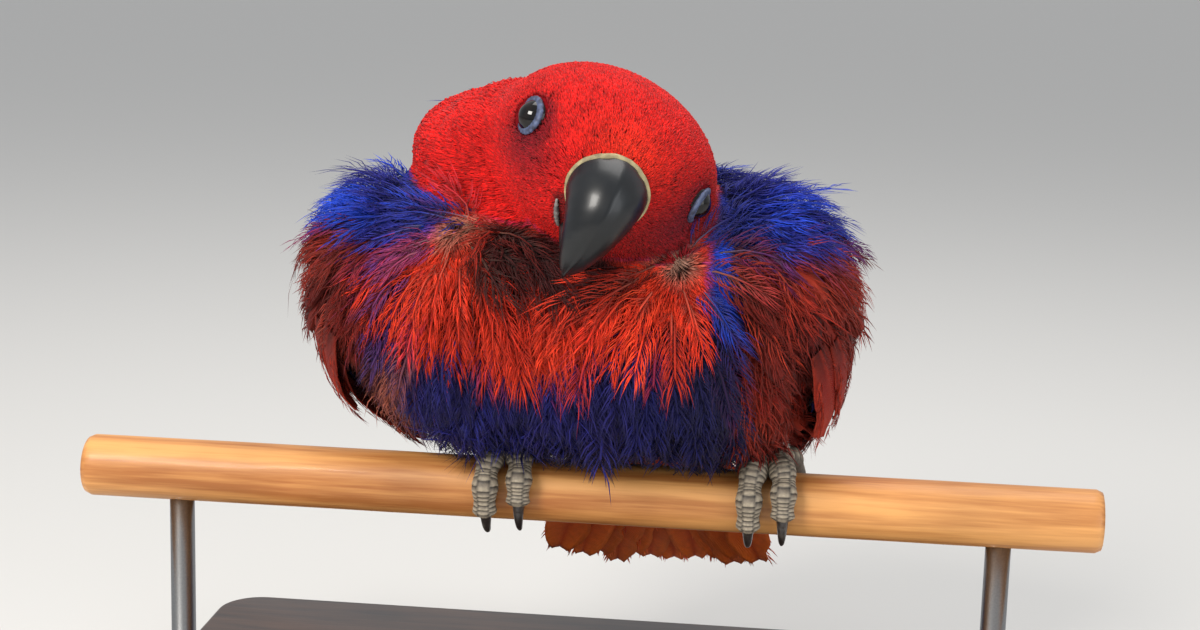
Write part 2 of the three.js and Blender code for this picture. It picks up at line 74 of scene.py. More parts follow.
EYE_RADIUS, EYE_FORWARD, EYE_UP, EYE_SEAT = 5.2, 13, 5, 2.9
BILL_ROOT = 19.0
BILL_HALF_WIDTH = 12.8  # 12 in the solids
NOSTRIL = np.array([5.6, -27.0, 9.5])  # on the bird's left, in the head's frame
FOOT_X = {"left": 59.0, "right": -24.0}
TOE_RADIUS = 4.3  # 3.7 in the solids
TOE_REACH = (112, 96, -96, -84)  # degrees round the perch, positive over the front
TOE_SPREAD = (-5.4, 5.2, 7.5, -6.5)
CLAW_REACH = 46
TARSUS_RADIUS = 4.3
TAIL_ROOT = np.array([16.0, 50.0, PERCH_TOP + 17])
TAIL_SLOPE = math.radians(47)
TAIL_LENGTH = 112
TAIL_FEATHERS = 12
GAP = 0.35

# How deep the skin lies under the coat's surface

BODY_DEPTH = 6.0
NECK_DEPTH = 2.8
HEAD_DEPTH = 1.3


# Small helpers

def unit(v):
    return v / np.maximum(np.linalg.norm(v, axis=-1, keepdims=True), 1e-9)


def square_to(direction, aim):
    """Unit vectors near aim that are square to the unit vectors direction."""
    return unit(aim - direction * np.sum(aim * direction, -1, keepdims=True))


def smoothstep(low, high, x):
    t = np.clip((x - low) / (high - low), 0, 1)
    return t * t * (3 - 2 * t)


def mix(a, b, t):
    t = np.asarray(t, float)[..., None]
    return a * (1 - t) + b * t


def ripple(points, size, seed=0):
    """Smooth noise of about -1 to 1 at each point, with features of about this size."""
    shift = Vector((17.3 * seed, 5.1 * seed, 9.7 * seed))
    return np.array([noise.noise(Vector(p) / size + shift) for p in np.atleast_2d(points)])


def patched(base, patches, points, size, seed, share, contrast):
    """One colour with smooth patches of another."""
    return mix(base, patches, np.clip(share + contrast * ripple(points, size, seed), 0, 1))


def paint(red, green, blue):
    """A colour given in eight-bit sRGB, in the renderer's linear values."""
    c = np.array([red, green, blue]) / 255
    return np.where(c <= 0.04045, c / 12.92, ((c + 0.055) / 1.055) ** 2.4)


def profile(pairs):
    """A smooth curve through (position, value) pairs, as in the solids."""
    at, value = np.array(pairs, float).T
    last = len(at) - 1

    def curve(x):
        i = np.clip(np.searchsorted(at, x, side="left") - 1, 0, last - 1)
        t = np.clip((x - at[i]) / (at[i + 1] - at[i]), 0, 1)
        rise = (value[i + 1] - value[np.maximum(i - 1, 0)]) / 2
        leave = (value[np.minimum(i + 2, last)] - value[i]) / 2
        t2, t3 = t * t, t * t * t
        return ((2 * t3 - 3 * t2 + 1) * value[i] + (t3 - 2 * t2 + t) * rise
                + (3 * t2 - 2 * t3) * value[i + 1] + (t3 - t2) * leave)

    return curve


def turned(axis, degrees):
    return np.array(Matrix.Rotation(math.radians(degrees), 3, axis))


def circle(count):
    return np.linspace(0, 2 * math.pi, count, endpoint=False)


def hand_name(side):
    return "left" if side > 0 else "right"


# Meshes

def read(items, key, width, kind=np.float32):
    """One property of mesh items, as an array with this many values a row."""
    values = np.empty(len(items) * width, kind)
    items.foreach_get(key, values)
    return values.reshape(-1, width)


def colour_points(mesh, colours):
    rgba = np.ones((len(colours), 4), np.float32)
    rgba[:, :3] = np.clip(colours, 0, 1)
    mesh.color_attributes.new("Col", "FLOAT_COLOR", "POINT").data.foreach_set("color", rgba.ravel())


def mesh_object(name, vertices, faces, colours=None, patches=None, barbs=None):
    """An object from millimetre points and a list of face arrays, with colours and other values per point."""
    groups = faces if isinstance(faces, list) else [faces]
    corners = np.concatenate([g.ravel() for g in groups]).astype(np.int32)
    sizes = np.concatenate([np.full(len(g), g.shape[1]) for g in groups])
    mesh = bpy.data.meshes.new(name)
    mesh.vertices.add(len(vertices))
    mesh.vertices.foreach_set("co", (np.asarray(vertices) * MM).astype(np.float32).ravel())
    mesh.loops.add(len(corners))
    mesh.loops.foreach_set("vertex_index", corners)
    mesh.polygons.add(len(sizes))
    mesh.polygons.foreach_set("loop_start", np.concatenate([[0], np.cumsum(sizes)[:-1]]).astype(np.int32))
    mesh.update(calc_edges=True)
    mesh.shade_smooth()
    if colours is not None:
        colour_points(mesh, colours)
    if barbs is not None:
        mesh.attributes.new("barb", "FLOAT", "POINT").data.foreach_set("value", barbs.astype(np.float32))
    if patches is not None:
        layer = mesh.uv_layers.new(name="OFBake")
        layer.data.foreach_set("uv", patches[corners].astype(np.float32).ravel())
    made = bpy.data.objects.new(name, mesh)
    bpy.context.scene.collection.objects.link(made)
    return made


def ring_quads(rings, turns, closed=False):
    """Faces between closed rings of points, and from the last ring to the first where closed."""
    ring, side = np.meshgrid(np.arange(rings if closed else rings - 1), np.arange(turns), indexing="ij")
    a, b = ring * turns + side, ring * turns + (side + 1) % turns
    c, d = ((ring + 1) % rings) * turns + (side + 1) % turns, ((ring + 1) % rings) * turns + side
    return np.stack([a, b, c, d], -1).reshape(-1, 4)


def ring_faces(rings, turns):
    """Quads between closed rings of points, and triangles to one more point at each end."""
    s = np.arange(turns)
    first, last, foot = rings * turns, rings * turns + 1, (rings - 1) * turns
    start = np.stack([np.full(turns, first), (s + 1) % turns, s], -1)
    end = np.stack([np.full(turns, last), foot + s, foot + (s + 1) % turns], -1)
    return [ring_quads(rings, turns), np.concatenate([start, end])]


def tube_mesh(centres, sides_a, sides_b, radii_a, radii_b, turns):
    """Rings round a line of centres, closed by a point at each end."""
    angle = circle(turns)[None, :, None]
    points = (centres[:, None] + sides_a[:, None] * radii_a[..., None] * np.cos(angle)
              + sides_b[:, None] * radii_b[..., None] * np.sin(angle))
    vertices = np.concatenate([points.reshape(-1, 3), centres[:1], centres[-1:]])
    return vertices, ring_faces(len(centres), turns)


def tube_along(line, aim, wide, tall, turns):
    """A tube along a line, tall towards aim and wide across it; both may vary along and round it."""
    direction = unit(np.gradient(line, axis=0))
    out = square_to(direction, aim)
    return tube_mesh(line, np.cross(out, direction), out, wide, tall, turns)


def unit_ball(columns, rows):
    """A ball's points and faces, with its poles on Z. The faces look inwards."""
    lat, lon = np.meshgrid(np.linspace(0, math.pi, rows + 1)[1:-1], circle(columns), indexing="ij")
    shape = np.stack([np.cos(lon) * np.sin(lat), np.sin(lon) * np.sin(lat), np.cos(lat)], -1)
    return np.concatenate([shape.reshape(-1, 3), [[0, 0, 1], [0, 0, -1]]]), ring_faces(rows - 1, columns)


def gather(shapes):
    """Several meshes of points and [quads, triangles] as one."""
    starts = np.cumsum([0] + [len(points) for points, _ in shapes])
    faces = [np.concatenate([faces[k] + start for (_, faces), start in zip(shapes, starts)]) for k in (0, 1)]
    return np.concatenate([points for points, _ in shapes]), faces


def bezier(knots, count):
    return np.array(interpolate_bezier(*map(Vector, knots), count))


# Materials

def new_material(name):
    material = bpy.data.materials.new(name)
    material.use_nodes = True
    return material, material.node_tree.nodes["Principled BSDF"]


def feed(material, node, inputs):
    """Sets each input to its value, or links it where that is another node's output."""
    for key, value in inputs.items():
        if isinstance(value, bpy.types.NodeSocket):
            material.node_tree.links.new(value, node.inputs[key])
        else:
            node.inputs[key].default_value = value


def add_node(material, kind, inputs=None, output=0, **settings):
    """A new node's output, with the node's inputs fed."""
    node = material.node_tree.nodes.new("ShaderNode" + kind)
    for key, value in settings.items():
        setattr(node, key, value)
    feed(material, node, inputs or {})
    return node.outputs[output]


def textured(name, roughness, colour=None, grain=300, mottle=0.25, bump=0.15, bump_size=0.0002,
             specular=0.5, sheen=0.0, coat=0.0, metallic=0.0, barbs=False):
    """A surface with its colour from the mesh or one colour, mottled and roughened by noise."""
    material, shader = new_material(name)
    add = partial(add_node, material)
    place = add("TexCoord", output="Object")
    speckle = add("TexNoise", {"Vector": place, "Scale": grain, "Detail": 4}, "Fac")
    shade = add("MapRange", {"Value": speckle, "From Min": 0.25, "From Max": 0.75,
                             "To Min": 1 - mottle, "To Max": 1 + mottle}, "Result")
    base = add("Attribute", output="Color", attribute_name="Col") if colour is None else tuple(colour)
    tint = add("VectorMath", {0: base, "Scale": shade}, "Vector", operation="SCALE")
    relief = add("Bump", {"Height": speckle, "Strength": bump, "Distance": bump_size}, "Normal")
    if barbs:
        phase = add("Attribute", output="Fac", attribute_name="barb")
        wave = add("Math", {0: phase}, "Value", operation="SINE")
        relief = add("Bump", {"Height": wave, "Normal": relief, "Strength": 0.55, "Distance": 0.0003},
                     "Normal")
    feed(material, shader, {
        "Base Color": tint, "Normal": relief, "Roughness": roughness, "Specular IOR Level": specular,
        "Sheen Weight": sheen, "Coat Weight": coat, "Coat Roughness": 0.08, "Metallic": metallic,
    })
    return material


def grained_wood(name, light, dark, stretch, roughness, coat):
    """Wood with its grain along X."""
    material, shader = new_material(name)
    add = partial(add_node, material)
    place = add("TexCoord", output="Object")
    along = add("Mapping", {"Vector": place, "Scale": (stretch, 1, 1)}, "Vector")
    wide = add("TexNoise", {"Vector": along, "Scale": 130, "Detail": 3, "Distortion": 0.6}, "Fac")
    fine = add("TexNoise", {"Vector": along, "Scale": 900, "Detail": 5}, "Fac")
    both = add("Math", {0: fine, 1: 0.45, 2: wide}, "Value", operation="MULTIPLY_ADD")
    ramp = add("ValToRGB", {"Fac": both}, "Color")
    for element, position, colour in zip(ramp.node.color_ramp.elements, (0.5, 0.86), (dark, light)):
        element.position = position
        element.color = (*colour, 1)
    stain = add("TexNoise", {"Vector": place, "Scale": 22}, "Fac")
    shade = add("MapRange", {"Value": stain, "From Min": 0.3, "From Max": 0.7,
                             "To Min": 0.78, "To Max": 1.1}, "Result")
    tint = add("VectorMath", {0: ramp, "Scale": shade}, "Vector", operation="SCALE")
    relief = add("Bump", {"Height": both, "Strength": 0.25, "Distance": 0.0003}, "Normal")
    feed(material, shader, {"Base Color": tint, "Normal": relief, "Roughness": roughness,
                            "Coat Weight": coat})
    return material


MATERIALS = {
    "skin": textured("skin", 0.9, grain=700, mottle=0.35, bump=0.5, bump_size=0.0006, specular=0.1),
    "coat": textured("coat", 0.6, grain=500, mottle=0.16, bump=0.0, specular=0.16, sheen=0.03),
    "vane": textured("vane", 0.6, grain=700, mottle=0.12, bump=0.1, specular=0.12, sheen=0.02, barbs=True),
    "bill": textured("bill", 0.33, grain=160, mottle=0.3, bump=0.12, specular=0.4, coat=0.1),
    "rim": textured("rim", 0.6, grain=600, mottle=0.3, bump=0.5, bump_size=0.0003),
    "lid": textured("lid", 0.55, grain=900, bump=0.5),
    "eye": textured("eye", 0.05, grain=900, mottle=0.1, bump=0.0, specular=0.25, coat=0.3),
    "scutes": textured("scutes", 0.62, grain=900, mottle=0.3, bump=0.4),
    "claw": textured("claw", 0.32, mottle=0.3, coat=0.3),
    "metal": textured("metal", 0.32, paint(178, 178, 172), grain=1200, mottle=0.15, bump=0.2,
                      bump_size=0.0001, metallic=1.0),
    "dowel": grained_wood("dowel", paint(224, 160, 92), paint(170, 103, 48), 0.05, 0.5, 0.08),
    "base": grained_wood("base", paint(74, 50, 36), paint(34, 22, 16), 0.08, 0.4, 0.2),
    "rod": textured("rod", 0.28, paint(150, 150, 150), grain=1500, mottle=0.1, bump=0.1,
                    bump_size=0.0001, metallic=1.0),
}


def finish_piece(piece, material, slot, *nodes):
    """Material, body and the nodes that the piece stands for, which are hidden; slot is not used."""
    piece.data.materials.clear()
    piece.data.materials.append(MATERIALS[material])
    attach(piece, "root")
    if nodes:
        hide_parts(*nodes)
    return piece


def add_piece(name, vertices, faces, colours, material, slot, *nodes):
    return finish_piece(mesh_object(name, vertices, faces, colours), material, slot, *nodes)


# The body's own shape, as in the solids

REACH = {
    "right": profile([(4, 40), (10, 56), (26, 72), (46, 79), (66, 79), (82, 70), (94, 50), (100, 28)]),
    "left": profile([(4, 56), (10, 65), (26, 72), (46, 75), (66, 73), (82, 64), (94, 46), (100, 26)]),
    "front": profile([(4, 12), (10, 24), (26, 41), (46, 49), (66, 48), (82, 38), (94, 22), (100, 8)]),
    "back": profile([(4, 30), (10, 44), (26, 58), (46, 62), (66, 58), (82, 48), (94, 34), (100, 22)]),
}
FULLNESS = 0.9


def body_point(turn, height):
    """A point of the coat's surface: turn is degrees from the bird's left side towards its back."""
    turn, height = np.broadcast_arrays(np.asarray(turn, float), np.asarray(height, float))
    c, s = np.cos(np.radians(turn)), np.sin(np.radians(turn))
    reach_x = np.where(c > 0, REACH["left"](height), REACH["right"](height))
    reach_y = np.where(s > 0, REACH["back"](height), REACH["front"](height))
    return np.stack([
        reach_x * np.sign(c) * np.abs(c) ** FULLNESS,
        reach_y * np.sign(s) * np.abs(s) ** FULLNESS,
        PERCH_TOP + height,
    ], -1)


def body_normal(turn, height):
    round_it = body_point(turn + 1, height) - body_point(turn - 1, height)
    rise = body_point(turn, height + 1) - body_point(turn, height - 1)
    return unit(np.cross(round_it, rise))


HEAD_AXES = turned("Z", HEAD_TURN["yaw"]) @ turned("X", HEAD_TURN["pitch"]) @ turned("Y", HEAD_TURN["roll"])


def to_head(points):
    return (points - HEAD_CENTRE) @ HEAD_AXES


def from_head(points):
    return np.asarray(points) @ HEAD_AXES.T + HEAD_CENTRE


def head_surface(direction, grow=0.0):
    """A point of the head's coat for a unit direction in the head's own frame."""
    x, y, z = np.moveaxis(direction, -1, 0)
    forward = np.maximum(0, -y)
    taper = 1 - 0.27 * forward ** 2
    brow = 1 - 0.16 * forward ** 2 * np.maximum(0, z)
    return np.stack([
        x * HEAD_SIDE * taper,
        y * np.where(y < 0, HEAD_FRONT, HEAD_BACK),
        z * np.where(z > 0, HEAD_UP * brow, HEAD_DOWN),
    ], -1) + direction * grow


def head_outside(points):
    """How far points in the head's frame stand out of the head's coat."""
    return np.linalg.norm(points, axis=-1) - np.linalg.norm(head_surface(unit(points)), axis=-1)


def eye_place(side):
    """An eyeball's middle and the way it looks, in the head's frame; side is 1 for the bird's left."""
    direction = unit(np.array([side * 0.87, -EYE_FORWARD / HEAD_FRONT, EYE_UP / HEAD_UP]))
    outward = unit(np.array([side * 0.93, -0.34, 0.1]))
    return head_surface(direction) - outward * EYE_SEAT, outward


EYES = {side: eye_place(side) for side in (1, -1)}


def gape_line(side):
    """The corner of the mouth, from beside the upper bill down to the lower one, in the head's frame."""
    t = np.linspace(0, 1, 30)[:, None]
    upper, lower = np.array([side * 0.38, -0.82, -0.34]), np.array([side * 0.2, -0.72, -0.66])
    return head_surface(unit(upper * (1 - t) + lower * t), 0.1)


# Skin: one surface under the whole coat

SWELL = 0.5  # closes the gaps between the nodes
NO_QUADS = np.empty((0, 4), int)


def wing_pad(side):
    """The shoulder and upper wing under its coverts."""
    shape, faces = unit_ball(40, 24)
    ahead, up, out = shape[:, 0], shape[:, 2], shape[:, 1]
    height = 58 + 33 * up
    turn = 6 + 40 * ahead - 0.25 * (height - 58)
    away = 1.5 + np.where(out > 0, 8, 4) * out
    turn = turn if side > 0 else 180 - turn
    return body_point(turn, height) + body_normal(turn, height) * away[:, None], faces


def ball(centre, half):
    shape, faces = unit_ball(28, 18)
    return centre + shape * half, faces


def applied(piece):
    """A new mesh of the piece with its modifiers applied."""
    return bpy.data.meshes.new_from_object(piece.evaluated_get(bpy.context.evaluated_depsgraph_get()))


def skin_shape():
    """Head, neck, body, wing pads and rump melted into one smooth surface."""
    shapes = []
    for node in ("head", "neck", "torso"):
        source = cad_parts[node].data
        points = read(source.vertices, "co", 3) / MM + read(source.vertex_normals, "vector", 3) * SWELL
        shapes.append((points, [NO_QUADS, read(source.loops, "vertex_index", 1, np.int32).reshape(-1, 3)]))
    shapes += [wing_pad(1), wing_pad(-1), ball(TAIL_ROOT + [0, 2, -6], np.array([15, 16, 13]))]
    shapes.append(ball(CHEEK_CENTRE, CHEEK_HALF))
    shapes += [ball(from_head(centre), EYE_RADIUS - 0.6) for centre, _ in EYES.values()]
    raw = mesh_object("skin_raw", *gather(shapes))
    melt = raw.modifiers.new("melt", "REMESH")
    melt.mode = "VOXEL"
    melt.voxel_size = 1.5 * MM
    soften = raw.modifiers.new("soften", "SMOOTH")
    soften.iterations = 10
    soften.factor = 0.5
    mesh = applied(raw)
    bpy.data.objects.remove(raw)
    return mesh


def head_measure(points):
    """About 1 on the surface of the head, less inside it."""
    return np.linalg.norm(to_head(points) / HEAD_HALF, axis=-1)


def neck_measure(points):
    neck = np.linalg.norm((points - NECK_CENTRE) @ turned("Y", NECK_TILT) / NECK_HALF, axis=-1)
    cheek = np.linalg.norm((points - CHEEK_CENTRE) / CHEEK_HALF, axis=-1)
    return np.minimum(neck, cheek)


def coat_depth(points):
    """How far the skin lies inside the coat's surface."""
    on_head = 1 - smoothstep(1.0, 1.22, head_measure(points))
    on_neck = 1 - smoothstep(1.0, 1.15, neck_measure(points))
    on_wing = smoothstep(58, 74, np.abs(points[:, 0])) * smoothstep(30, 45, points[:, 2] - PERCH_TOP)
    body = BODY_DEPTH * (1 - 0.35 * on_wing)
    body = body * (1 - on_neck) + NECK_DEPTH * on_neck
    return body * (1 - on_head) + HEAD_DEPTH * on_head


def build_skin():
    mesh = skin_shape()
    points = read(mesh.vertices, "co", 3) / MM
    inner = points - read(mesh.vertex_normals, "vector", 3) * coat_depth(points)[:, None]
    mesh.vertices.foreach_set("co", (inner * MM).astype(np.float32).ravel())
    mesh.update()
    piece = bpy.data.objects.new("skin", mesh)
    bpy.context.scene.collection.objects.link(piece)
    piece.modifiers.new("settle", "SMOOTH").iterations = 4
    piece.data = applied(piece)
    piece.modifiers.clear()
    piece.data.shade_smooth()
    unwrap(piece)
    return piece


def unwrap(piece):
    bpy.context.view_layer.objects.active = piece
    piece.select_set(True)
    bpy.ops.object.mode_set(mode="EDIT")
    bpy.ops.mesh.select_all(action="SELECT")
    bpy.ops.uv.smart_project(angle_limit=math.radians(66), island_margin=0.004)
    bpy.ops.object.mode_set(mode="OBJECT")
    piece.select_set(False)
    piece.data.uv_layers[0].name = "OFBake"


# Where each colour of the plumage lies

SCARLET = paint(198, 19, 15)
# A darker red, used for painted shade on the head
PAINTED_SHADE_RED = paint(132, 11, 10)
WARM_RED = paint(214, 44, 20)
WINE = paint(104, 12, 26)
BIB_RED = paint(226, 58, 28)
BIB_DARK = paint(178, 30, 16)
MAROON = paint(126, 24, 15)
DARK_MAROON = paint(56, 10, 9)
BRICK = paint(172, 54, 32)
BLUE = paint(38, 42, 132)
BRIGHT_BLUE = paint(28, 68, 196)
VIOLET = paint(34, 27, 88)
INK = paint(15, 14, 38)
MAUVE = paint(92, 50, 104)
RUST = paint(190, 104, 78)
ASH = paint(150, 136, 116)
SHADOW = paint(17, 13, 16)

FAN_CENTRES = np.array([[-37.0, -30.0, PERCH_TOP + 76], [30.0, -34.0, PERCH_TOP + 70]])


def from_fan(points):
    """How far points are from the nearer middle of the bib's two fans."""
    return np.min([np.linalg.norm(points - centre, axis=1) for centre in FAN_CENTRES], 0)


def band(low, high, soft, x):
    """1 between low and high, fading out over soft on both sides."""
    return smoothstep(low - soft, low + soft, x) * (1 - smoothstep(high - soft, high + soft, x))


def regions(points):
    """Shares of each part of the plumage at points near the skin."""
    x, y = points[:, 0], points[:, 1]
    h = points[:, 2] - PERCH_TOP
    wobble = 4 * ripple(points, 12, 3)
    front = 1 - smoothstep(-4, 8, y + wobble)
    on_head = 1 - smoothstep(1.05, 1.12, head_measure(points))
    on_neck = 1 - smoothstep(1.0, 1.07, neck_measure(points) + 0.004 * wobble)
    hood = np.maximum(on_head, on_neck * (1 - smoothstep(6, 14, y + wobble)))
    rest = 1 - hood
    aside = np.where(x > 0, x - 50, -x - 66) + 0.7 * wobble
    wing = rest * smoothstep(-3, 3, aside) * band(4, 72, 5, h)
    collar = rest * smoothstep(68, 76, h + wobble) * np.maximum(1 - front, smoothstep(40, 50, np.abs(x)))
    bib_edge = 35 + 0.0028 * (x + 12) ** 2 + 0.7 * wobble
    bib = rest * front * smoothstep(-2, 2, h - bib_edge) * (1 - smoothstep(38, 43, x + wobble))
    bib = bib * (1 - collar) * (1 - wing)
    back = rest * (1 - front) * (1 - collar) * smoothstep(18, 30, h + wobble)
    return {"hood": hood, "bib": bib, "wing": wing, "collar": collar, "back": back, "front": front}


def blob(points, centre, half):
    """1 at the centre, fading out over the half sizes."""
    return np.exp(-np.sum(((points - centre) / half) ** 2, -1))


def hood_colour(points):
    """Scarlet, warmer over the bill and wine red under the eyes, with painted shade towards the lower cheek
    on the bird's left and painted shadow in the folds at the mouth's corners.
    """
    q = to_head(points)
    x, h = points[:, 0], points[:, 2] - PERCH_TOP
    # Painted shade: the red darkens towards the lower cheek and the bird's left side
    low = 0.55 * (x - 4) / 36 - 0.85 * (h - 96) / 28
    colour = mix(SCARLET, PAINTED_SHADE_RED, 0.9 * smoothstep(-0.1, 0.95, low))
    colour = mix(colour, WARM_RED, 0.75 * blob(q, np.array([0, -24, 13]), [13, 12, 8]))
    for side, (centre, _) in EYES.items():
        colour = mix(colour, WINE, 0.8 * blob(q, centre + np.array([0.0, -3, -8]), [10, 12, 9]))
        ring = np.linalg.norm(q - centre, axis=1)
        colour = mix(colour, WINE, 0.7 * (1 - smoothstep(6, 9, ring)))
        fold = np.min([np.linalg.norm(q - p, axis=1) for p in gape_line(side)[::4]], 0)
        colour = mix(colour, SHADOW, 0.7 * (1 - smoothstep(1.5, 4.5, fold)))
    return colour


def plumage(points):
    """The plumage's colour at points near the skin."""
    part = regions(points)
    x = points[:, 0]
    h = points[:, 2] - PERCH_TOP
    rest, front = 1 - part["hood"], part["front"]
    patchy = np.clip(0.5 + 1.1 * ripple(points, 11, 8), 0, 1)
    fine = np.clip(0.5 + 1.3 * ripple(points, 5, 12), 0, 1)
    belly = mix(mix(VIOLET, BLUE, patchy), INK, 0.75 * smoothstep(14, 2, h) + 0.4 * fine * front)
    # Painted shade: a dark zone low on the front of the bird's left side
    belly = mix(belly, INK, 0.6 * front * band(26, 60, 8, x) * band(8, 44, 6, h))
    colour = mix(belly, mix(MAROON, DARK_MAROON, patchy), part["back"])
    nape = mix(mix(BLUE, VIOLET, 0.5 * fine), BRIGHT_BLUE, 0.8 * patchy ** 3)
    colour = mix(colour, nape, part["collar"])
    bib = mix(BIB_RED, BIB_DARK, 0.7 * fine)
    bib = mix(bib, mix(MAUVE, BLUE, patchy), 0.85 * smoothstep(-44, -60, x) * smoothstep(0.3, 0.6, fine))
    colour = mix(colour, bib, part["bib"])
    left_strip = front * rest * band(42, 52, 3, x) * band(53, 78, 5, h)
    strips = np.maximum(left_strip, rest * smoothstep(-64, -70, x) * band(74, 84, 3, h))
    colour = mix(colour, BRIGHT_BLUE, 0.9 * strips)
    wing = mix(mix(MAROON, BRICK, 0.8 * fine), DARK_MAROON, patchy * 0.7)
    colour = mix(colour, wing, part["wing"] * (1 - strips))
    rusty = rest * smoothstep(-48, -58, x) * band(6, 36, 5, h)
    colour = mix(colour, mix(RUST, DARK_MAROON, patchy ** 1.5), 0.85 * rusty)
    # Painted shadow in the hollow under the head, over the dark down that shows there
    hollow = band(-27, 12, 8, x) * band(60, 78, 5, h) * front * rest
    colour = mix(colour, SHADOW, 0.93 * np.clip(1.3 * hollow, 0, 1))
    colour = mix(colour, ASH * 0.9, 0.8 * (1 - smoothstep(3, 12, from_fan(points))))
    return mix(colour, hood_colour(points), part["hood"])


# Which way the feathers lie

LIE_START = np.array([0, -26, -2])  # behind the bill, in the head's frame


def lie(points, normals):
    """The way feathers point on the skin: back over the head from the bill, and down the body."""
    q = to_head(points)
    over_head = unit(q - LIE_START) @ HEAD_AXES.T
    away = unit(points - (HEAD_CENTRE + NECK_CENTRE) / 2)
    x, y = points[:, 0], points[:, 1]
    h = points[:, 2] - PERCH_TOP
    drift = 0.3 * ripple(points, 26, 21)
    body = np.stack([0.35 * x / 80 + drift, np.full(len(x), 0.42), np.full(len(x), -1.0)], -1)
    fans = np.zeros_like(points)
    weight = np.zeros(len(points))
    for centre in FAN_CENTRES:
        near = blob(points, centre, 34)
        fans += unit(points - centre) * near[:, None]
        weight += near
    body = mix(body, fans, np.clip(1.1 * weight, 0, 0.75) * (y < 5))
    on_wing = smoothstep(60, 70, np.abs(x)) * smoothstep(10, 24, h)
    body = mix(body, np.array([0, 0.72, -0.72]), on_wing)
    e = np.minimum(head_measure(points), neck_measure(points))
    outer = np.clip(smoothstep(34, 50, np.abs(x)) + (y > 5), 0, 1)
    body = mix(body, away, (1 - smoothstep(1.25, 1.7, e)) * smoothstep(58, 72, h) * outer * 0.85)
    way = mix(body, over_head, 1 - smoothstep(1.02, 1.14, e))
    for centre, _ in EYES.values():
        way = way + (unit(q - centre) @ HEAD_AXES.T) * blob(q, centre, 8)[:, None] * 0.8
    return square_to(normals, way)


# Coat: feathers rooted on the skin

class Skin:
    """The skin's surface, to root feathers on and to lay them along."""

    def __init__(self, piece):
        mesh = piece.data
        mesh.calc_loop_triangles()
        self.points = read(mesh.vertices, "co", 3) / MM
        self.triangles = read(mesh.loop_triangles, "vertices", 3, np.int32)
        loops = read(mesh.loop_triangles, "loops", 3, np.int32)
        self.uv = read(mesh.uv_layers["OFBake"].data, "uv", 2)[loops]
        a, b, c = (self.points[self.triangles[:, k]] for k in range(3))
        cross = np.cross(b - a, c - a)
        self.area = np.linalg.norm(cross, axis=1) / 2
        self.normal = unit(cross)
        self.tree = BVHTree.FromPolygons(self.points.tolist(), self.triangles.tolist())

    def sample(self, count):
        """Random roots, spread by area: points, normals and their places on the unwrap."""
        which = rng.choice(len(self.area), count, p=self.area / self.area.sum())
        r = rng.random((count, 2))
        flip = r.sum(1) > 1
        r[flip] = 1 - r[flip]
        share = np.stack([1 - r.sum(1), r[:, 0], r[:, 1]], -1)
        points = np.einsum("nk,nkd->nd", share, self.points[self.triangles[which]])
        uv = np.einsum("nk,nkd->nd", share, self.uv[which])
        return points, self.normal[which], uv

    def nearest(self, points):
        found = [self.tree.find_nearest(p) for p in points.tolist()]
        return np.array([f[0] for f in found]), np.array([f[1] for f in found])

    def roots(self, spacing, keep):
        """Evenly spaced roots where keep allows them, picked from six times as many."""
        points, normals, uv = self.sample(int(self.area.sum() / spacing ** 2 * 6))
        ok = keep(points)
        points, normals, uv = points[ok], normals[ok], uv[ok]
        taken, chosen = {}, []
        cells = np.floor(points / spacing).astype(int)
        around = [(i, j, k) for i in (-1, 0, 1) for j in (-1, 0, 1) for k in (-1, 0, 1)]
        for n, (cell, p) in enumerate(zip(map(tuple, cells), points)):
            close = (taken.get((cell[0] + i, cell[1] + j, cell[2] + k)) for i, j, k in around)
            if all(o is None or np.dot(p - o, p - o) > spacing ** 2 * 0.8 for o in close):
                taken[cell] = p
                chosen.append(n)
        return points[chosen], normals[chosen], uv[chosen]


SLIVER_FACES = np.array([(0, 2, 3), (0, 3, 1), (0, 1, 2), (4, 3, 2), (4, 1, 3), (4, 2, 1)])
PATCH = 0.003  # a tuft's size on the unwrap


class Coat:
    """Feather geometry gathered for one piece."""

    def __init__(self):
        self.points, self.colours, self.patches, self.barbs, self.triangles = [], [], [], [], []
        self.count = 0

    def add(self, points, triangles, colours, patches, barbs=None):
        """points [N, K, 3] for N copies of a form, triangles [F, 3] of one copy."""
        n, k = points.shape[:2]
        offset = self.count + np.arange(n)[:, None, None] * k
        self.points.append(points.reshape(-1, 3))
        self.colours.append(colours.reshape(-1, 3))
        self.patches.append(patches.reshape(-1, 2))
        self.barbs.append(np.zeros(n * k) if barbs is None else barbs)
        self.triangles.append((triangles[None] + offset).reshape(-1, 3))
        self.count += n * k

    def slivers(self, root, middle, tip, across, out, width, thick, colours, uv):
        """Closed slivers: a vertex at the root, three round the middle and one at the tip."""
        half = across * (width / 2)[:, None]
        points = np.stack([root, middle - half, middle + half, middle + out * thick, tip], 1)
        shade = np.stack([colours[0], colours[1], colours[1], colours[1] * 1.08, colours[2]], 1)
        spot = np.array([(0, -0.5), (-0.35, 0), (0.35, 0), (0, 0.1), (0, 0.5)]) * PATCH
        self.add(points, SLIVER_FACES, shade, uv[:, None] + spot[None])

    def build(self, name, material, slot, *nodes):
        triangles = np.concatenate(self.triangles)
        made = mesh_object(name, np.concatenate(self.points), triangles, np.concatenate(self.colours),
                           np.clip(np.concatenate(self.patches), 0, 1),
                           np.concatenate(self.barbs) if material == "vane" else None)
        print(f"{name}: {len(triangles)} triangles")
        return finish_piece(made, material, slot, *nodes)


def swung(way, normals, angle):
    """Directions on the surface turned by an angle round its normals."""
    return way * np.cos(angle)[:, None] + np.cross(way, normals) * np.sin(angle)[:, None]


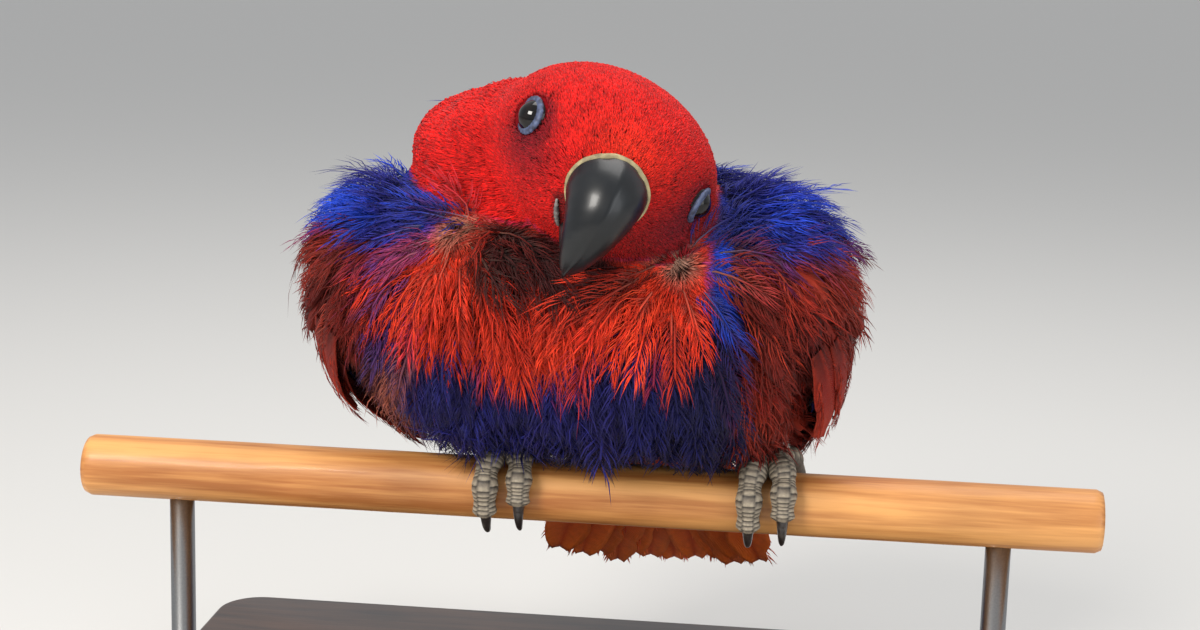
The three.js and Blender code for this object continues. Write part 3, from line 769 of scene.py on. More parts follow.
def lay_paths(skin, roots, normals, way, lengths, rise, segments=4):
    """Lines that leave their roots and follow the skin, rising off it: points and normals along each."""
    position, direction = roots.copy(), way.copy()
    points, outward = [roots - normals * 0.6], [normals]
    for step in range(1, segments + 1):
        guess = position + direction * (lengths / segments)[:, None]
        position, normal = skin.nearest(guess)
        facing = np.sign(np.sum(normal * outward[-1], -1, keepdims=True))
        normal = unit(0.5 * outward[-1] + normal * np.where(facing == 0, 1, facing))
        direction = square_to(normal, 0.65 * direction + 0.35 * lie(position, normal))
        t = step / segments
        lift = rise[0] * (1 - (1 - t) ** 2) + rise[1] * t * t
        points.append(position + normal * lift[:, None])
        outward.append(normal)
    return np.stack(points, 1), np.stack(outward, 1)


def along_paths(lines, outward, t):
    """Point, direction, across and normal at share t [N, J] of each line."""
    steps = lines.shape[1] - 1
    f = np.clip(t * steps, 0, steps - 1e-6)
    i = f.astype(int)
    share = (f - i)[..., None]
    rows = np.arange(len(lines))[:, None]
    point = lines[rows, i] * (1 - share) + lines[rows, i + 1] * share
    direction = unit(lines[rows, i + 1] - lines[rows, i])
    normal = outward[rows, i] * (1 - share) + outward[rows, i + 1] * share
    across = unit(np.cross(direction, normal))
    return point, direction, across, unit(np.cross(across, direction))


# A feather's sizes: core and barb are widths down the shaft and of a barb, open and close the barbs'
# angles at its base and end, sweep how they bend back, and curl, jitter and fluff its disorder
Form = namedtuple("Form", "length width core barbs barb open close sweep rise curl jitter fluff")
BIB = Form(20, 8.4, 0.045, 25, 0.36, 52, 20, 0.72, 4.6, 1.6, 10, 0.5)
BELLY = Form(23, 9.4, 0.05, 19, 0.42, 55, 24, 0.72, 4.4, 2.0, 19, 0.8)
COLLAR = Form(17, 7.0, 0.07, 14, 0.42, 48, 18, 0.65, 4.0, 2.2, 14, 0.6)
MANTLE = Form(19, 7.4, 0.5, 14, 0.55, 42, 18, 0.7, 3.6, 0.9, 9, 0.3)
COVERT = Form(18, 7.6, 0.5, 15, 0.6, 42, 18, 0.7, 3.2, 1.6, 12, 0.4)


def feathers(coat, skin, picked, form, shades):
    """
    Soft contour feathers: each has a narrow closed vane down its shaft and free barbs on both
    sides. shades(roots, ends) gives the colours of the base, middle and tips.
    """
    roots, normals, uv = picked
    vary = rng.normal(size=(len(roots), 6))
    way = unit(swung(lie(roots, normals), normals, np.radians(form.jitter) * vary[:, 0]))
    length = form.length * np.exp(0.14 * vary[:, 1])
    width = form.width * np.exp(0.12 * vary[:, 2])
    rise = (form.rise * np.exp(0.2 * vary[:, 3]), np.abs(form.curl * vary[:, 4]))
    lines, outward = lay_paths(skin, roots, normals, way, length, rise)
    ends = lines[:, -1]
    clear = (ends[:, 2] > PERCH_TOP - 1.5) | (ends[:, 1] > 20)  # none hangs over the perch's front
    clear &= (regions(ends)["hood"] < 0.5) | (ends[:, 1] > 0)  # or lies over the cheek
    roots, uv, vary, length, width = (a[clear] for a in (roots, uv, vary, length, width))
    lines, outward = lines[clear], outward[clear]
    dark, base, bright = shades(roots, 0.5 * (lines[:, -2] + lines[:, -1]))
    level = np.exp(0.16 * vary[:, 5])[:, None]
    tones = (dark[:, None], (base * level)[:, None], (bright * level)[:, None])
    add_shafts(coat, lines, outward, form.core * width, tones, uv)
    for hand in (-1, 1):
        add_barbs(coat, hand, lines, outward, length, width, form, tones, uv)


def add_shafts(coat, lines, outward, widest, tones, uv, steps=5):
    """A narrow closed vane down the middle of each feather."""
    dark, base, _ = tones
    t = np.broadcast_to(np.linspace(0.04, 0.94, steps), (len(lines), steps))
    point, _, across, normal = along_paths(lines, outward, t)
    half = (widest[:, None] * np.sqrt(np.clip(1 - ((t - 0.55) / 0.62) ** 2, 0, 1)))[..., None]
    edge = point - 0.15 * half * normal
    ring = np.stack([edge - across * half, point + normal * 0.22,
                     edge + across * half, point - normal * 0.12], 2)
    body = np.concatenate([ring.reshape(len(lines), -1, 3), lines[:, :1], lines[:, -1:]], 1)
    tone = np.repeat(mix(dark, base, np.clip(t * 1.5, 0, 1)), 4, 1)
    quads, caps = ring_faces(steps, 4)
    faces = np.concatenate([quads[:, [0, 1, 2]], quads[:, [0, 2, 3]], caps])
    spot = np.stack([np.tile([-0.3, 0, 0.3, 0], steps), np.repeat(np.linspace(-0.5, 0.4, steps), 4)], -1)
    spot = np.concatenate([spot, [[0, -0.5], [0, 0.5]]]) * PATCH
    coat.add(body, faces, np.concatenate([tone, dark, base], 1), uv[:, None] + spot[None])


def add_barbs(coat, hand, lines, outward, length, width, form, tones, uv):
    """Free barbs along one side of each feather."""
    n, count = len(lines), form.barbs
    dark, base, bright = tones
    t = np.linspace(0.1, 0.96, count) + rng.normal(size=(n, count)) * 0.35 / count
    t = np.clip(t, 0.05, 0.98)
    point, direction, across, normal = along_paths(lines, outward, t)
    spread = np.radians(form.open + (form.close - form.open) * t + 6 * rng.normal(size=t.shape))
    reach = width[:, None] * (0.45 + 0.55 * np.sqrt(np.clip(1 - ((t - 0.45) / 0.62) ** 2, 0, 1)))
    reach = np.minimum(reach / np.maximum(np.sin(spread), 0.3), 0.5 * length[:, None])
    reach = reach * np.exp(0.18 * rng.normal(size=t.shape))

    def out_along(angle, share):
        step = direction * np.cos(angle)[..., None] + across * (hand * np.sin(angle))[..., None]
        return point + step * (reach * share)[..., None]

    def flat(a):
        return a.reshape(-1, 3)

    wave = normal * (form.fluff * rng.normal(size=t.shape))[..., None]
    middle = out_along(spread, 0.5) + wave * 0.3 + normal * 0.1
    tip = out_along(form.sweep * spread, 1.0) + wave - normal * (0.06 * reach)[..., None]
    barb_across = unit(np.cross(tip - point, normal))
    speck = np.exp(0.15 * rng.normal(size=(n * count, 1)))
    colours = (flat(mix(dark, base, np.clip(t * 1.3, 0, 1) * 0.7)), flat(np.repeat(base, count, 1)) * speck,
               flat(np.repeat(bright, count, 1)) * speck)
    spot = np.stack([np.full(n * count, hand * 0.4), t.ravel() - 0.5], -1) * PATCH * 0.8
    thickness = np.full(n * count, form.barb * np.sqrt(form.length / 20))
    coat.slivers(flat(point), flat(middle), flat(tip), flat(barb_across), flat(normal),
                 thickness, 0.12, colours, np.repeat(uv, count, 0) + spot)


def shaded(darkness, brightness, pale_roots=0.0):
    """Colours for a feather, from the plumage where its end lies."""
    def shades(roots, ends):
        base = plumage(ends)
        pale = pale_roots * (1 - smoothstep(6, 15, from_fan(roots)))
        return mix(base * darkness, ASH, pale), base, base * brightness
    return shades


def fine_coat(skin, name, slot, density, limit, keep, lengths, depth):
    """Short fine feathers lying back over the skin; lengths holds those near the bill and far from it."""
    points, normals, uv = skin.sample(int(skin.area.sum() * density))
    q = to_head(points)
    near_eye = np.min([np.linalg.norm(q - centre, axis=1) for centre, _ in EYES.values()], 0)
    ok = np.flatnonzero(keep(points) & (near_eye > 5.9))[:limit]
    points, normals, uv, q, near_eye = (a[ok] for a in (points, normals, uv, q, near_eye))
    n = len(points)
    back = np.linalg.norm(q - LIE_START, axis=1)
    length = lengths[0] + (lengths[1] - lengths[0]) * smoothstep(10, 70, back)
    length = length * np.exp(0.15 * rng.normal(size=n)) * (0.5 + 0.5 * smoothstep(6, 12, near_eye))
    swing = 0.07 * rng.normal(size=n) + 0.16 * ripple(points, 8, 5)
    way = swung(lie(points, normals), normals, swing)
    middle_on, _ = skin.nearest(points + way * (length * 0.5)[:, None])
    tip_on, _ = skin.nearest(points + way * length[:, None])
    lift = depth * np.exp(0.12 * rng.normal(size=n)) * (0.55 + 0.45 * length / lengths[1])
    middle = middle_on + normals * (0.6 * lift)[:, None]
    tip = tip_on + normals * (0.5 * lift)[:, None]
    base = plumage(tip_on) * np.exp(0.22 * rng.normal(size=(n, 1)))
    base = base * (1 + 0.22 * ripple(points, 6, 9)[:, None])
    width = (0.3 + 0.03 * length) * np.exp(0.15 * rng.normal(size=n))
    coat = Coat()
    coat.slivers(points - normals * 0.4, middle, tip, unit(np.cross(way, normals)), normals, width, 0.1,
                 (base * 0.75, base, base * 1.12), uv)
    return coat.build(name, "coat", slot)


def hood_coats(skin):
    """The head's coat, the longer one that goes on from it over the neck, and the down in the bib's fans."""
    def on_head(side):
        return lambda points: (head_measure(points) < 1.07) & (to_head(points)[:, 0] * side > 0)

    def on_neck(points):
        return (head_measure(points) >= 1.05) & (regions(points)["hood"] > 0.4)

    def in_fan(points):
        return (from_fan(points) < 15) & (regions(points)["hood"] < 0.5)

    for side in (1, -1):
        name = f"head_coat_{hand_name(side)}"
        fine_coat(skin, name, "scarlet", 13.0, 33000, on_head(side), (2.6, 7.5), HEAD_DEPTH)
    fine_coat(skin, "hood_coat", "scarlet", 9.0, 33000, on_neck, (3.5, 9.5), 0.8 * NECK_DEPTH)
    fine_coat(skin, "down_coat", "crimson", 7.0, 9000, in_fan, (4.5, 5.5), NECK_DEPTH)


def body_coats(skin):
    """The coat's pieces on the body, from the bib round to the back."""
    def low(part):
        return np.max([part[key] for key in ("bib", "collar", "back", "wing", "hood")], 0) < 0.5

    plans = [
        ("bib_coat", lambda part: part["bib"] > 0.5, BIB, 3.8, shaded(0.35, 1.4, 0.5), "crimson"),
        ("belly_coat", low, BELLY, 4.6, shaded(0.2, 1.8), "crimson"),
        ("collar_coat", lambda part: part["collar"] > 0.5, COLLAR, 3.7, shaded(0.25, 1.4), "scarlet"),
        ("mantle_coat", lambda part: part["back"] > 0.5, MANTLE, 4.0, shaded(0.4, 1.25), "crimson"),
        ("covert_coat", lambda part: part["wing"] > 0.5, COVERT, 4.2, shaded(0.4, 1.6), "maroon"),
    ]
    for name, chosen, form, spacing, shades, slot in plans:
        coat = Coat()
        feathers(coat, skin, skin.roots(spacing, lambda points: chosen(regions(points))), form, shades)
        coat.build(name, "coat", slot)


# Flight and tail feathers

HALF_COLUMNS = 4  # of points on each side of a stiff feather's shaft
VANE_THICKNESS = 0.34
SPLITS = 3  # in each edge of a stiff feather
FRINGE_BARBS = 110


def stiff_vane(coat, cell, cells, path, normal_at, half_width, shades, steps, tip):
    """A stiff feather in its cell of the map: cambered, with a raised shaft, split edges and barb lines."""
    t = np.linspace(0, 1, steps + 1)
    line = path(t)
    direction = unit(np.gradient(line, axis=0))
    sideways = unit(np.cross(direction, normal_at(t)))
    normal = unit(np.cross(sideways, direction))
    rounding = np.sqrt(1 - (1 - tip ** 2) * np.maximum(0, (t - 0.6) / 0.4) ** 3)
    shape = (0.5 + 0.5 * np.minimum(1, t * 2.5)) * rounding
    length = np.sum(np.linalg.norm(np.diff(line, axis=0), axis=1))
    s = np.linspace(-1, 1, 2 * HALF_COLUMNS + 1)
    columns = len(s)
    half = np.zeros((steps + 1, columns))
    for hand in (-1, 1):
        cuts = np.ones(steps + 1)
        for at in rng.uniform(0.35, 1.0, SPLITS):
            cuts *= 1 - rng.uniform(0.08, 0.25) * np.exp(-((t - at) / 0.03) ** 2)
        half[:, s * hand > 0] = (half_width * shape * cuts)[:, None]
    camber = -0.12 * half_width * s ** 2 + 0.32 * np.exp(-(s / 0.12) ** 2)
    top = (line[:, None] + sideways[:, None] * (half * s)[..., None] + normal[:, None] * camber[None, :, None]
           + direction[:, None] * (shape[:, None] ** 2 * np.abs(s) * half_width * 0.2)[..., None])
    points = np.concatenate([top.reshape(-1, 3), (top - normal[:, None] * VANE_THICKNESS).reshape(-1, 3)])

    count = (steps + 1) * columns
    r, c = np.meshgrid(np.arange(steps), np.arange(columns - 1), indexing="ij")
    a = (r * columns + c).ravel()
    top_faces = np.concatenate([np.stack([a, a + 1, a + columns + 1], -1),
                                np.stack([a, a + columns + 1, a + columns], -1)])
    rim = np.concatenate([
        np.arange(columns - 1), np.arange(steps) * columns + columns - 1,
        steps * columns + np.arange(columns - 1, 0, -1), np.arange(steps, 0, -1) * columns,
    ])
    after = np.roll(rim, -1)
    wall = np.concatenate([np.stack([rim, rim + count, after + count], -1),
                           np.stack([rim, after + count, after], -1)])

    dark, base, bright = shades
    along = t[:, None] * np.ones(columns)
    tone = mix(base, dark, np.clip(1 - 2.2 * along, 0, 1))
    tone = mix(tone, bright, np.clip(0.4 * s ** 2 + 0.8 * smoothstep(0.5, 1.0, along), 0, 1))
    streak = 1 + 0.05 * np.sin(along * length * 1.7 + np.abs(s) * 5) * (np.abs(s) > 0.05)
    tone = tone * streak[..., None]
    tone[:, HALF_COLUMNS] = base * 0.6 + bright * 0.3
    barb = ((along * length - np.abs(s) * half_width * 0.9) * 2 * math.pi / 0.9).ravel()
    grid = int(math.ceil(math.sqrt(cells)))
    corner = np.array([cell % grid, cell // grid]) / grid
    fringe(coat, line, direction, sideways, normal, half_width * shape, (base, bright), t, corner, grid)
    spot = np.stack([0.06 + 0.44 * (s + 1) + 0 * along, 0.06 + 0.72 * along], -1).reshape(-1, 2)
    spot = corner + spot / grid
    coat.add(points[None], np.concatenate([top_faces, top_faces[:, ::-1] + count, wall]),
             np.concatenate([tone, tone * 0.7]), np.tile(spot, (2, 1)), np.tile(barb, 2))


def fringe(coat, line, direction, sideways, normal, half, shades, t, corner, grid):
    """Loose barbs along both edges and round the end of a stiff feather, mapped in two rows of its cell."""
    count = FRINGE_BARBS
    share = 1 - rng.random(count) ** 1.5 * 0.75
    at = np.minimum((share * (len(t) - 1)).astype(int), len(t) - 2)
    hand = rng.choice([-1.0, 1.0], count)
    inset = rng.uniform(0.5, 0.92, count)
    start = line[at] + sideways[at] * (hand * half[at] * inset)[:, None]
    angle = hand * rng.uniform(0.12, 0.5, count) * (1.1 - 0.6 * share)
    way = direction[at] * np.cos(angle)[:, None] + sideways[at] * np.sin(angle)[:, None]
    reach = rng.uniform(2.5, 7.5, count)
    drift = normal[at] * (0.4 * rng.normal(size=count))[:, None]
    middle = start + way * (0.5 * reach)[:, None] + normal[at] * 0.1
    tip = start + way * reach[:, None] + drift
    tone = mix(*shades, rng.random(count))
    spot = corner + np.stack([0.06 + 0.88 * share, 0.9 + 0.04 * hand], -1) / grid
    coat.slivers(start, middle, tip, unit(np.cross(way, normal[at])), normal[at], np.full(count, 0.5), 0.14,
                 (tone * 0.8, tone, tone * 1.15), spot)


TRAIL = np.array([0, 0.78, -0.62])
WING_TIERS = [
    {"count": 9, "from": ((-26, 38), (46, 66)), "to": ((-8, 56), (20, 42)), "lift": (6.0, 8.4),
     "width": 7.4, "trail": 0, "shades": (DARK_MAROON, MAROON, BRICK)},
    {"count": 9, "from": ((-20, 36), (36, 56)), "to": ((12, 58), (8, 28)), "lift": (4.2, 5.8),
     "width": 7.6, "trail": 8, "shades": (DARK_MAROON, MAROON * 0.8, BRICK * 0.8)},
    {"count": 8, "from": ((-10, 20), (28, 36)), "to": ((36, 56), (9, 20)), "lift": (1.8, 3.4),
     "width": 6.0, "trail": 40, "shades": (SHADOW, VIOLET * 0.7, BLUE * 0.9)},
]


def wing_line(side, tier, i):
    """The line of a tier's feather over the folded wing and the normals along it, as functions of 0 to 1."""
    k = i / (tier["count"] - 1)
    start, stop = (np.array([low + (high - low) * k for low, high in tier[end]]) for end in ("from", "to"))
    stop = stop + rng.normal(size=2) * (1.0, 1.2)
    trail = tier["trail"] * (0.55 + 0.45 * k)

    def place(t):
        turn = start[0] + (stop[0] - start[0]) * t
        height = start[1] + (stop[1] - start[1]) * t + 5 * t * (1 - t)
        return (turn if side > 0 else 180 - turn), height

    def path(t):
        lift = tier["lift"][0] + (tier["lift"][1] - tier["lift"][0]) * t + 0.9 * (i % 3)
        return (body_point(*place(t)) + body_normal(*place(t)) * lift[:, None]
                + TRAIL * (trail * np.maximum(0, 1.6 * t - 0.6))[:, None])

    return path, lambda t: body_normal(*place(t))


def wing_feathers(side):
    """Greater coverts, secondaries and primaries, in tiers on the folded wing."""
    coat = Coat()
    plans = [(tier, i) for tier in WING_TIERS for i in range(tier["count"])]
    for cell, (tier, i) in enumerate(plans):
        path, normal_at = wing_line(side, tier, i)
        level = np.exp(0.12 * rng.normal())
        shades = tuple(c * level for c in tier["shades"])
        stiff_vane(coat, cell, len(plans), path, normal_at, tier["width"], shades, 32, 0.2)
    return coat.build(f"flight_{hand_name(side)}", "vane", "maroon", f"wing_{hand_name(side)}")


TAIL_ALONG = unit(np.array([0.03, math.cos(TAIL_SLOPE), -math.sin(TAIL_SLOPE)]))
TAIL_ACROSS = np.array([1.0, 0, 0])
TAIL_OUT = unit(np.cross(TAIL_ACROSS, TAIL_ALONG))
TAIL_COVERTS = 9
TAIL_SHADES = (DARK_MAROON, paint(214, 62, 24), paint(250, 118, 40))
UNDER_SHADES = (DARK_MAROON, paint(190, 50, 30), paint(226, 140, 50))
TailPlan = namedtuple("TailPlan", "place length width fan level start tip shades")


def tail_plans():
    """Twelve tail feathers, then short coverts above and below them."""
    plans = []
    for i in range(TAIL_FEATHERS):
        k = i - (TAIL_FEATHERS - 1) / 2
        order = 2 * (abs(k) - 0.5) + (1 if k < 0 else 0)
        length = TAIL_LENGTH - 0.55 * k * k + 1.5 * math.sin(3 * i) + 2 * rng.normal()
        fan = 3.1 * k + 0.9 * rng.normal()
        plans.append(TailPlan(1.7 * k, length, 9.4, fan, 2 - 1.15 * order, 0, 0.3, TAIL_SHADES))
    for i in range(TAIL_COVERTS):
        k = i - (TAIL_COVERTS - 1) / 2
        above, below = 5.2 - 0.5 * abs(k), -14.6 + 0.4 * abs(k)
        over = (DARK_MAROON, MAROON, BRICK)
        plans.append(TailPlan(2.2 * k, 52 - 0.9 * k * k, 5.6, 2.6 * k, above, 2, 0.08, over))
        plans.append(TailPlan(2.2 * k, 56 - 1.1 * k * k, 5.6, 2.6 * k, below, 2, 0.08, UNDER_SHADES))
    return plans


def tail_feathers():
    """The tail's fan, with its feathers overlapping from the middle outwards."""
    coat = Coat()
    plans = tail_plans()
    for cell, plan in enumerate(plans):
        along = np.array(Matrix.Rotation(math.radians(-plan.fan), 3, Vector(TAIL_OUT))) @ TAIL_ALONG

        def path(t):
            return (TAIL_ROOT + TAIL_ACROSS * plan.place + along * (plan.start + plan.length * t)[:, None]
                    + TAIL_OUT * (plan.level - 5 * t * t)[:, None])

        def normal_at(t):
            return np.broadcast_to(TAIL_OUT, (len(t), 3))

        level = np.exp(0.1 * rng.normal())
        shades = tuple(c * level for c in plan.shades)
        stiff_vane(coat, cell, len(plans), path, normal_at, plan.width, shades, 44, plan.tip)
    return coat.build("tail_feathers", "vane", "orange", "tail")


# Bill, lids and eyes

RIDGE = [(0, -BILL_ROOT, 11.5), (0, -BILL_ROOT - 25, 12), (0, -BILL_ROOT - 30, -9),
         (0, -BILL_ROOT - 16.5, -25)]
CUTTING_EDGE = [(0, -BILL_ROOT + 2, -11), (0, -BILL_ROOT - 7, -13), (0, -BILL_ROOT - 12, -17),
                (0, -BILL_ROOT - 15.4, -24.4)]


def bill_rings(t, count, turn):
    """
    Points of the upper bill, lofted between its ridge and its cutting edge, and the way up at each
    share t. The two curves have count points, of which the first ones are used.
    """
    ridge, edge = (bezier(knots, count)[:len(t)] for knots in (RIDGE, CUTTING_EDGE))
    middle, up = (ridge + edge) / 2, (ridge - edge) / 2
    half = BILL_HALF_WIDTH * (1 - t) ** 0.62 * (1 - 0.1 * t) + 0.9
    lift = np.sin(turn)
    keel = np.where(lift > 0, 1 - 0.12 * np.abs(lift) ** 3, 1 - 0.3 * lift ** 2)
    points = middle[:, None] + up[:, None] * lift[:, None]
    points[..., 0] = half[:, None] * np.cos(turn) * keel
    return points, up


def upper_bill():
    """The hooked upper bill, with growth lines, a low crest and shallow nostrils."""
    steps, sides = 60, 56
    turn, t = circle(sides), np.linspace(0, 1, steps)
    points, up = bill_rings(t, steps, turn)
    points[..., 0] *= 1 + 0.004 * np.sin(t * 70 + 3 * np.sin(t * 9))[:, None]
    crest = 0.35 * np.exp(-((turn - math.pi / 2) / 0.12) ** 2)[None, :] * smoothstep(0, 0.3, t)[:, None]
    points = points + unit(up)[:, None] * crest[..., None]
    root = np.array([[0, -BILL_ROOT + 6, 0]])
    hook = np.array([RIDGE[-1]]) + np.array([[0, 0.5, -1.6]])
    vertices = np.concatenate([points.reshape(-1, 3), root, hook])
    mirrored = np.abs(vertices[:, :1]) * [1, 0, 0] + vertices * [0, 1, 1]
    pit = 1 - smoothstep(0.5, 1.5, np.linalg.norm(mirrored - NOSTRIL, axis=1))
    vertices = vertices + pit[:, None] * np.array([0, 1.1, -0.4])
    tone = patched(paint(12, 13, 15), paint(32, 37, 42), vertices, 9, 2, 0.3, 0.3)
    near_root = np.concatenate([np.repeat(smoothstep(0.16, 0.02, t), sides), [1, 0]])
    tone = mix(mix(tone, paint(92, 90, 80), near_root * 0.5), SHADOW * 0.4, pit)
    add_piece("upper_bill", from_head(vertices), ring_faces(steps, sides), tone, "bill", "bill", "bill_upper")


def lower_bill():
    steps = 26
    start, middle, stop = (np.array([0, -BILL_ROOT + y, z])
                           for y, z in ((3, -13.5), (-4, -18), (-9.5, -21.2)))
    t = np.linspace(0, 1, steps)
    s = t[:, None]
    line = start * (1 - s) ** 2 + (2 * middle - (start + stop) / 2) * (2 * s * (1 - s)) + stop * s ** 2
    round_tip = np.sqrt(np.clip(1 - np.maximum(0, (t - 0.8) / 0.2) ** 2, 0.02, 1))
    radius = ((7.4 + (3.2 - 7.4) * t) * round_tip)[:, None]
    vertices, faces = tube_along(line, np.array([0, 1.0, -0.7]), radius, radius * 0.94, 36)
    tone = patched(paint(24, 25, 27), paint(50, 52, 54), vertices, 6, 4, 0.25, 0.25)
    add_piece("lower_bill", from_head(vertices), faces, tone, "bill", "bill", "bill_lower")


def bill_rim():
    """The pale soft edge where the upper bill leaves the feathers, between the corners of the mouth."""
    steps = 90
    turn = np.linspace(math.radians(-34), math.radians(214), steps)
    points, _ = bill_rings(np.linspace(0, 0.75, 60), 80, turn)
    leaves = np.argmax(head_outside(points) > 0.15, 0)
    line = points[np.maximum(leaves, 1), np.arange(steps)]
    for _ in range(6):
        line[1:-1] = (line[:-2] + 2 * line[1:-1] + line[2:]) / 4
    taper = np.sin(np.linspace(0.12, math.pi - 0.12, steps)) ** 0.4
    size = (taper * (1 + 0.12 * ripple(line, 1.6, 6)))[:, None]
    vertices, faces = tube_along(line, line - np.array([0, -BILL_ROOT + 4, -2]), 0.95 * size, 0.6 * size, 14)
    tone = patched(paint(176, 162, 118), paint(96, 84, 66), vertices, 2.2, 7, 0.35, 0.7)
    add_piece("bill_rim", from_head(vertices), faces, tone, "rim", "bill")


def eye(side):
    """A dark wet eye: a ball with a bulging cornea."""
    centre, outward = EYES[side]
    shape, faces = unit_ball(56, 40)
    off = np.degrees(np.arccos(np.clip(shape[:, 2], -1, 1)))
    points = shape * (EYE_RADIUS * (1 + 0.035 * smoothstep(42, 0, off)))[:, None]
    pupil, iris, rim = paint(4, 3, 3), paint(17, 10, 8), paint(8, 6, 6)
    tone = mix(np.broadcast_to(pupil, points.shape), iris, smoothstep(19, 23, off))
    tone = mix(tone, rim, smoothstep(36, 42, off))
    turn = np.array(Vector((0, 0, 1)).rotation_difference(Vector(outward)).to_matrix())
    outwards = [corners[:, ::-1] for corners in faces]
    name = hand_name(side)
    vertices = from_head(points @ turn.T + centre)
    add_piece(f"eyeball_{name}", vertices, outwards, tone, "eye", "eye", f"eye_{name}")


def lids(side):
    """Bare wrinkled skin round an eye, open to an almond."""
    centre, outward = EYES[side]
    steps, sides = 96, 20
    turn, around = circle(steps)[:, None], circle(sides)
    up = square_to(outward, np.array([0, 0, 1.0]))
    forward = unit(np.cross(outward, up)) * side
    wrinkle = 1 + 0.05 * np.sin(turn * 26) + 0.04 * np.sin(turn * 41 + 1)
    radius = 4.9 * (1 - 0.13 * np.sin(turn) ** 2) + 1.45 * wrinkle * np.cos(around)
    height = 2.0 + 0.2 * np.sin(turn) + 0.85 * wrinkle * np.sin(around)
    radial = forward * np.cos(turn) + up * np.sin(turn)
    points = centre + radial[:, None] * radius[..., None] + outward * height[..., None]
    quads = ring_quads(steps, sides, closed=True)
    vertices = points.reshape(-1, 3)
    tone = patched(paint(80, 92, 124), paint(42, 45, 64), vertices, 1.1, 5, 0.5, 1)
    inner = np.tile(np.cos(around) < -0.4, steps)
    tone = mix(tone, paint(26, 24, 32), inner * 0.7)
    quads = quads if side > 0 else quads[:, ::-1]
    add_piece(f"lids_{hand_name(side)}", from_head(vertices), quads, tone, "lid", "scarlet")


def gape(side):
    """The folded pale skin at a corner of the mouth."""
    line = gape_line(side)
    t = np.linspace(0, 1, len(line))
    size = 0.8 * np.sin(np.linspace(0.15, math.pi - 0.1, len(line))) ** 0.5 * (1 + 0.14 * np.sin(t * 44))
    vertices, faces = tube_along(line, line, size[:, None], size[:, None], 12)
    tone = patched(paint(138, 132, 128), paint(62, 58, 62), vertices, 1.4, 3, 0.4, 1)
    add_piece(f"gape_{hand_name(side)}", from_head(vertices), faces, tone, "lid", "bill")


# Legs, feet and claws

def toe_line(foot_x, spread, start, stop, clearance, t):
    """A toe's middle line round the perch, as in the solids."""
    turn = np.radians(start + (stop - start) * t)
    opened = 1 if abs(start) > 20 else 0.1
    aside = spread * np.sin(np.minimum(1, 1.6 * t + opened) * math.pi / 2)
    away = PERCH_RADIUS + clearance
    return np.stack([foot_x + aside, -away * np.sin(turn), PERCH_AXIS + away * np.cos(turn)], -1)


def off_perch(line):
    """The way from the perch's axis to each point."""
    return (line - np.array([0, 0, PERCH_AXIS])) * np.array([0, 1, 1])


def scaly_tube(line, radius, plates, sides=40):
    """A toe or leg: three rows of plates over its upper side and pads below."""
    t = np.linspace(0, 1, len(line))[:, None]
    around = circle(sides)
    aside = np.abs(np.cos(around))
    upper = smoothstep(-0.25, 0.3, np.sin(around))
    uneven = 0.25 * np.sin(1.7 * t * plates + 1.3)
    phase = (t * plates + uneven + 0.22 * aside ** 2 + 0.5 * (aside > 0.5)) % 1.0
    between = np.exp(-((aside - 0.5) / 0.08) ** 2) * upper
    ridge = (phase ** 1.3) * upper - 0.4 * between
    pads = 0.05 * np.cos(t * math.pi * 6) * (1 - upper)
    pebble = 0.03 * np.sin(t * plates * 9 + np.sin(around * 9)) * (1 - upper)
    radii = radius[:, None] * (0.96 + 0.06 * ridge + pads + pebble)
    vertices, faces = tube_along(line, off_perch(line), radii, radii, sides)
    grey, dark, pale = paint(104, 94, 82), paint(30, 25, 22), paint(156, 144, 125)
    seam = np.clip(smoothstep(0.26, 0.04, phase) + smoothstep(0.94, 1.0, phase), 0, 1)
    tone = mix(grey, pale, smoothstep(0.2, 0.8, phase) * upper)
    tone = mix(tone, dark, np.clip(seam * upper * 0.9 + 0.7 * between + 0.3 * (1 - upper), 0, 1))
    tone = tone.reshape(-1, 3)
    return vertices, faces, np.concatenate([tone, tone[:1], tone[-1:]])


def foot(side):
    foot_x = FOOT_X[side]
    t = np.linspace(0, 1, 120)
    radius = TOE_RADIUS * (1 - 0.12 * t + 0.07 * np.cos(t * math.pi * 6))
    round_end = np.sqrt(np.clip(1 - np.maximum(0, (t - 0.93) / 0.07) ** 2, 0.03, 1))
    parts = [scaly_tube(toe_line(foot_x, spread, 0, reach, GAP + radius, t), radius * round_end, 19)
             for reach, spread in zip(TOE_REACH, TOE_SPREAD)]
    knots = [(foot_x, 0, PERCH_TOP + 2.6), (foot_x, 1, PERCH_TOP + 6), (foot_x, 3, PERCH_TOP + 13),
             (foot_x - 2, 7, PERCH_TOP + 24)]
    shank = TARSUS_RADIUS + 0.8 * (1 - np.linspace(0, 1, 90))
    parts.append(scaly_tube(bezier(knots, 90), shank, 9))
    vertices, faces = gather([part[:2] for part in parts])
    tone = np.concatenate([part[2] for part in parts])
    add_piece(f"foot_{side}", vertices, faces, tone, "scutes", "scutes", f"leg_{side}")


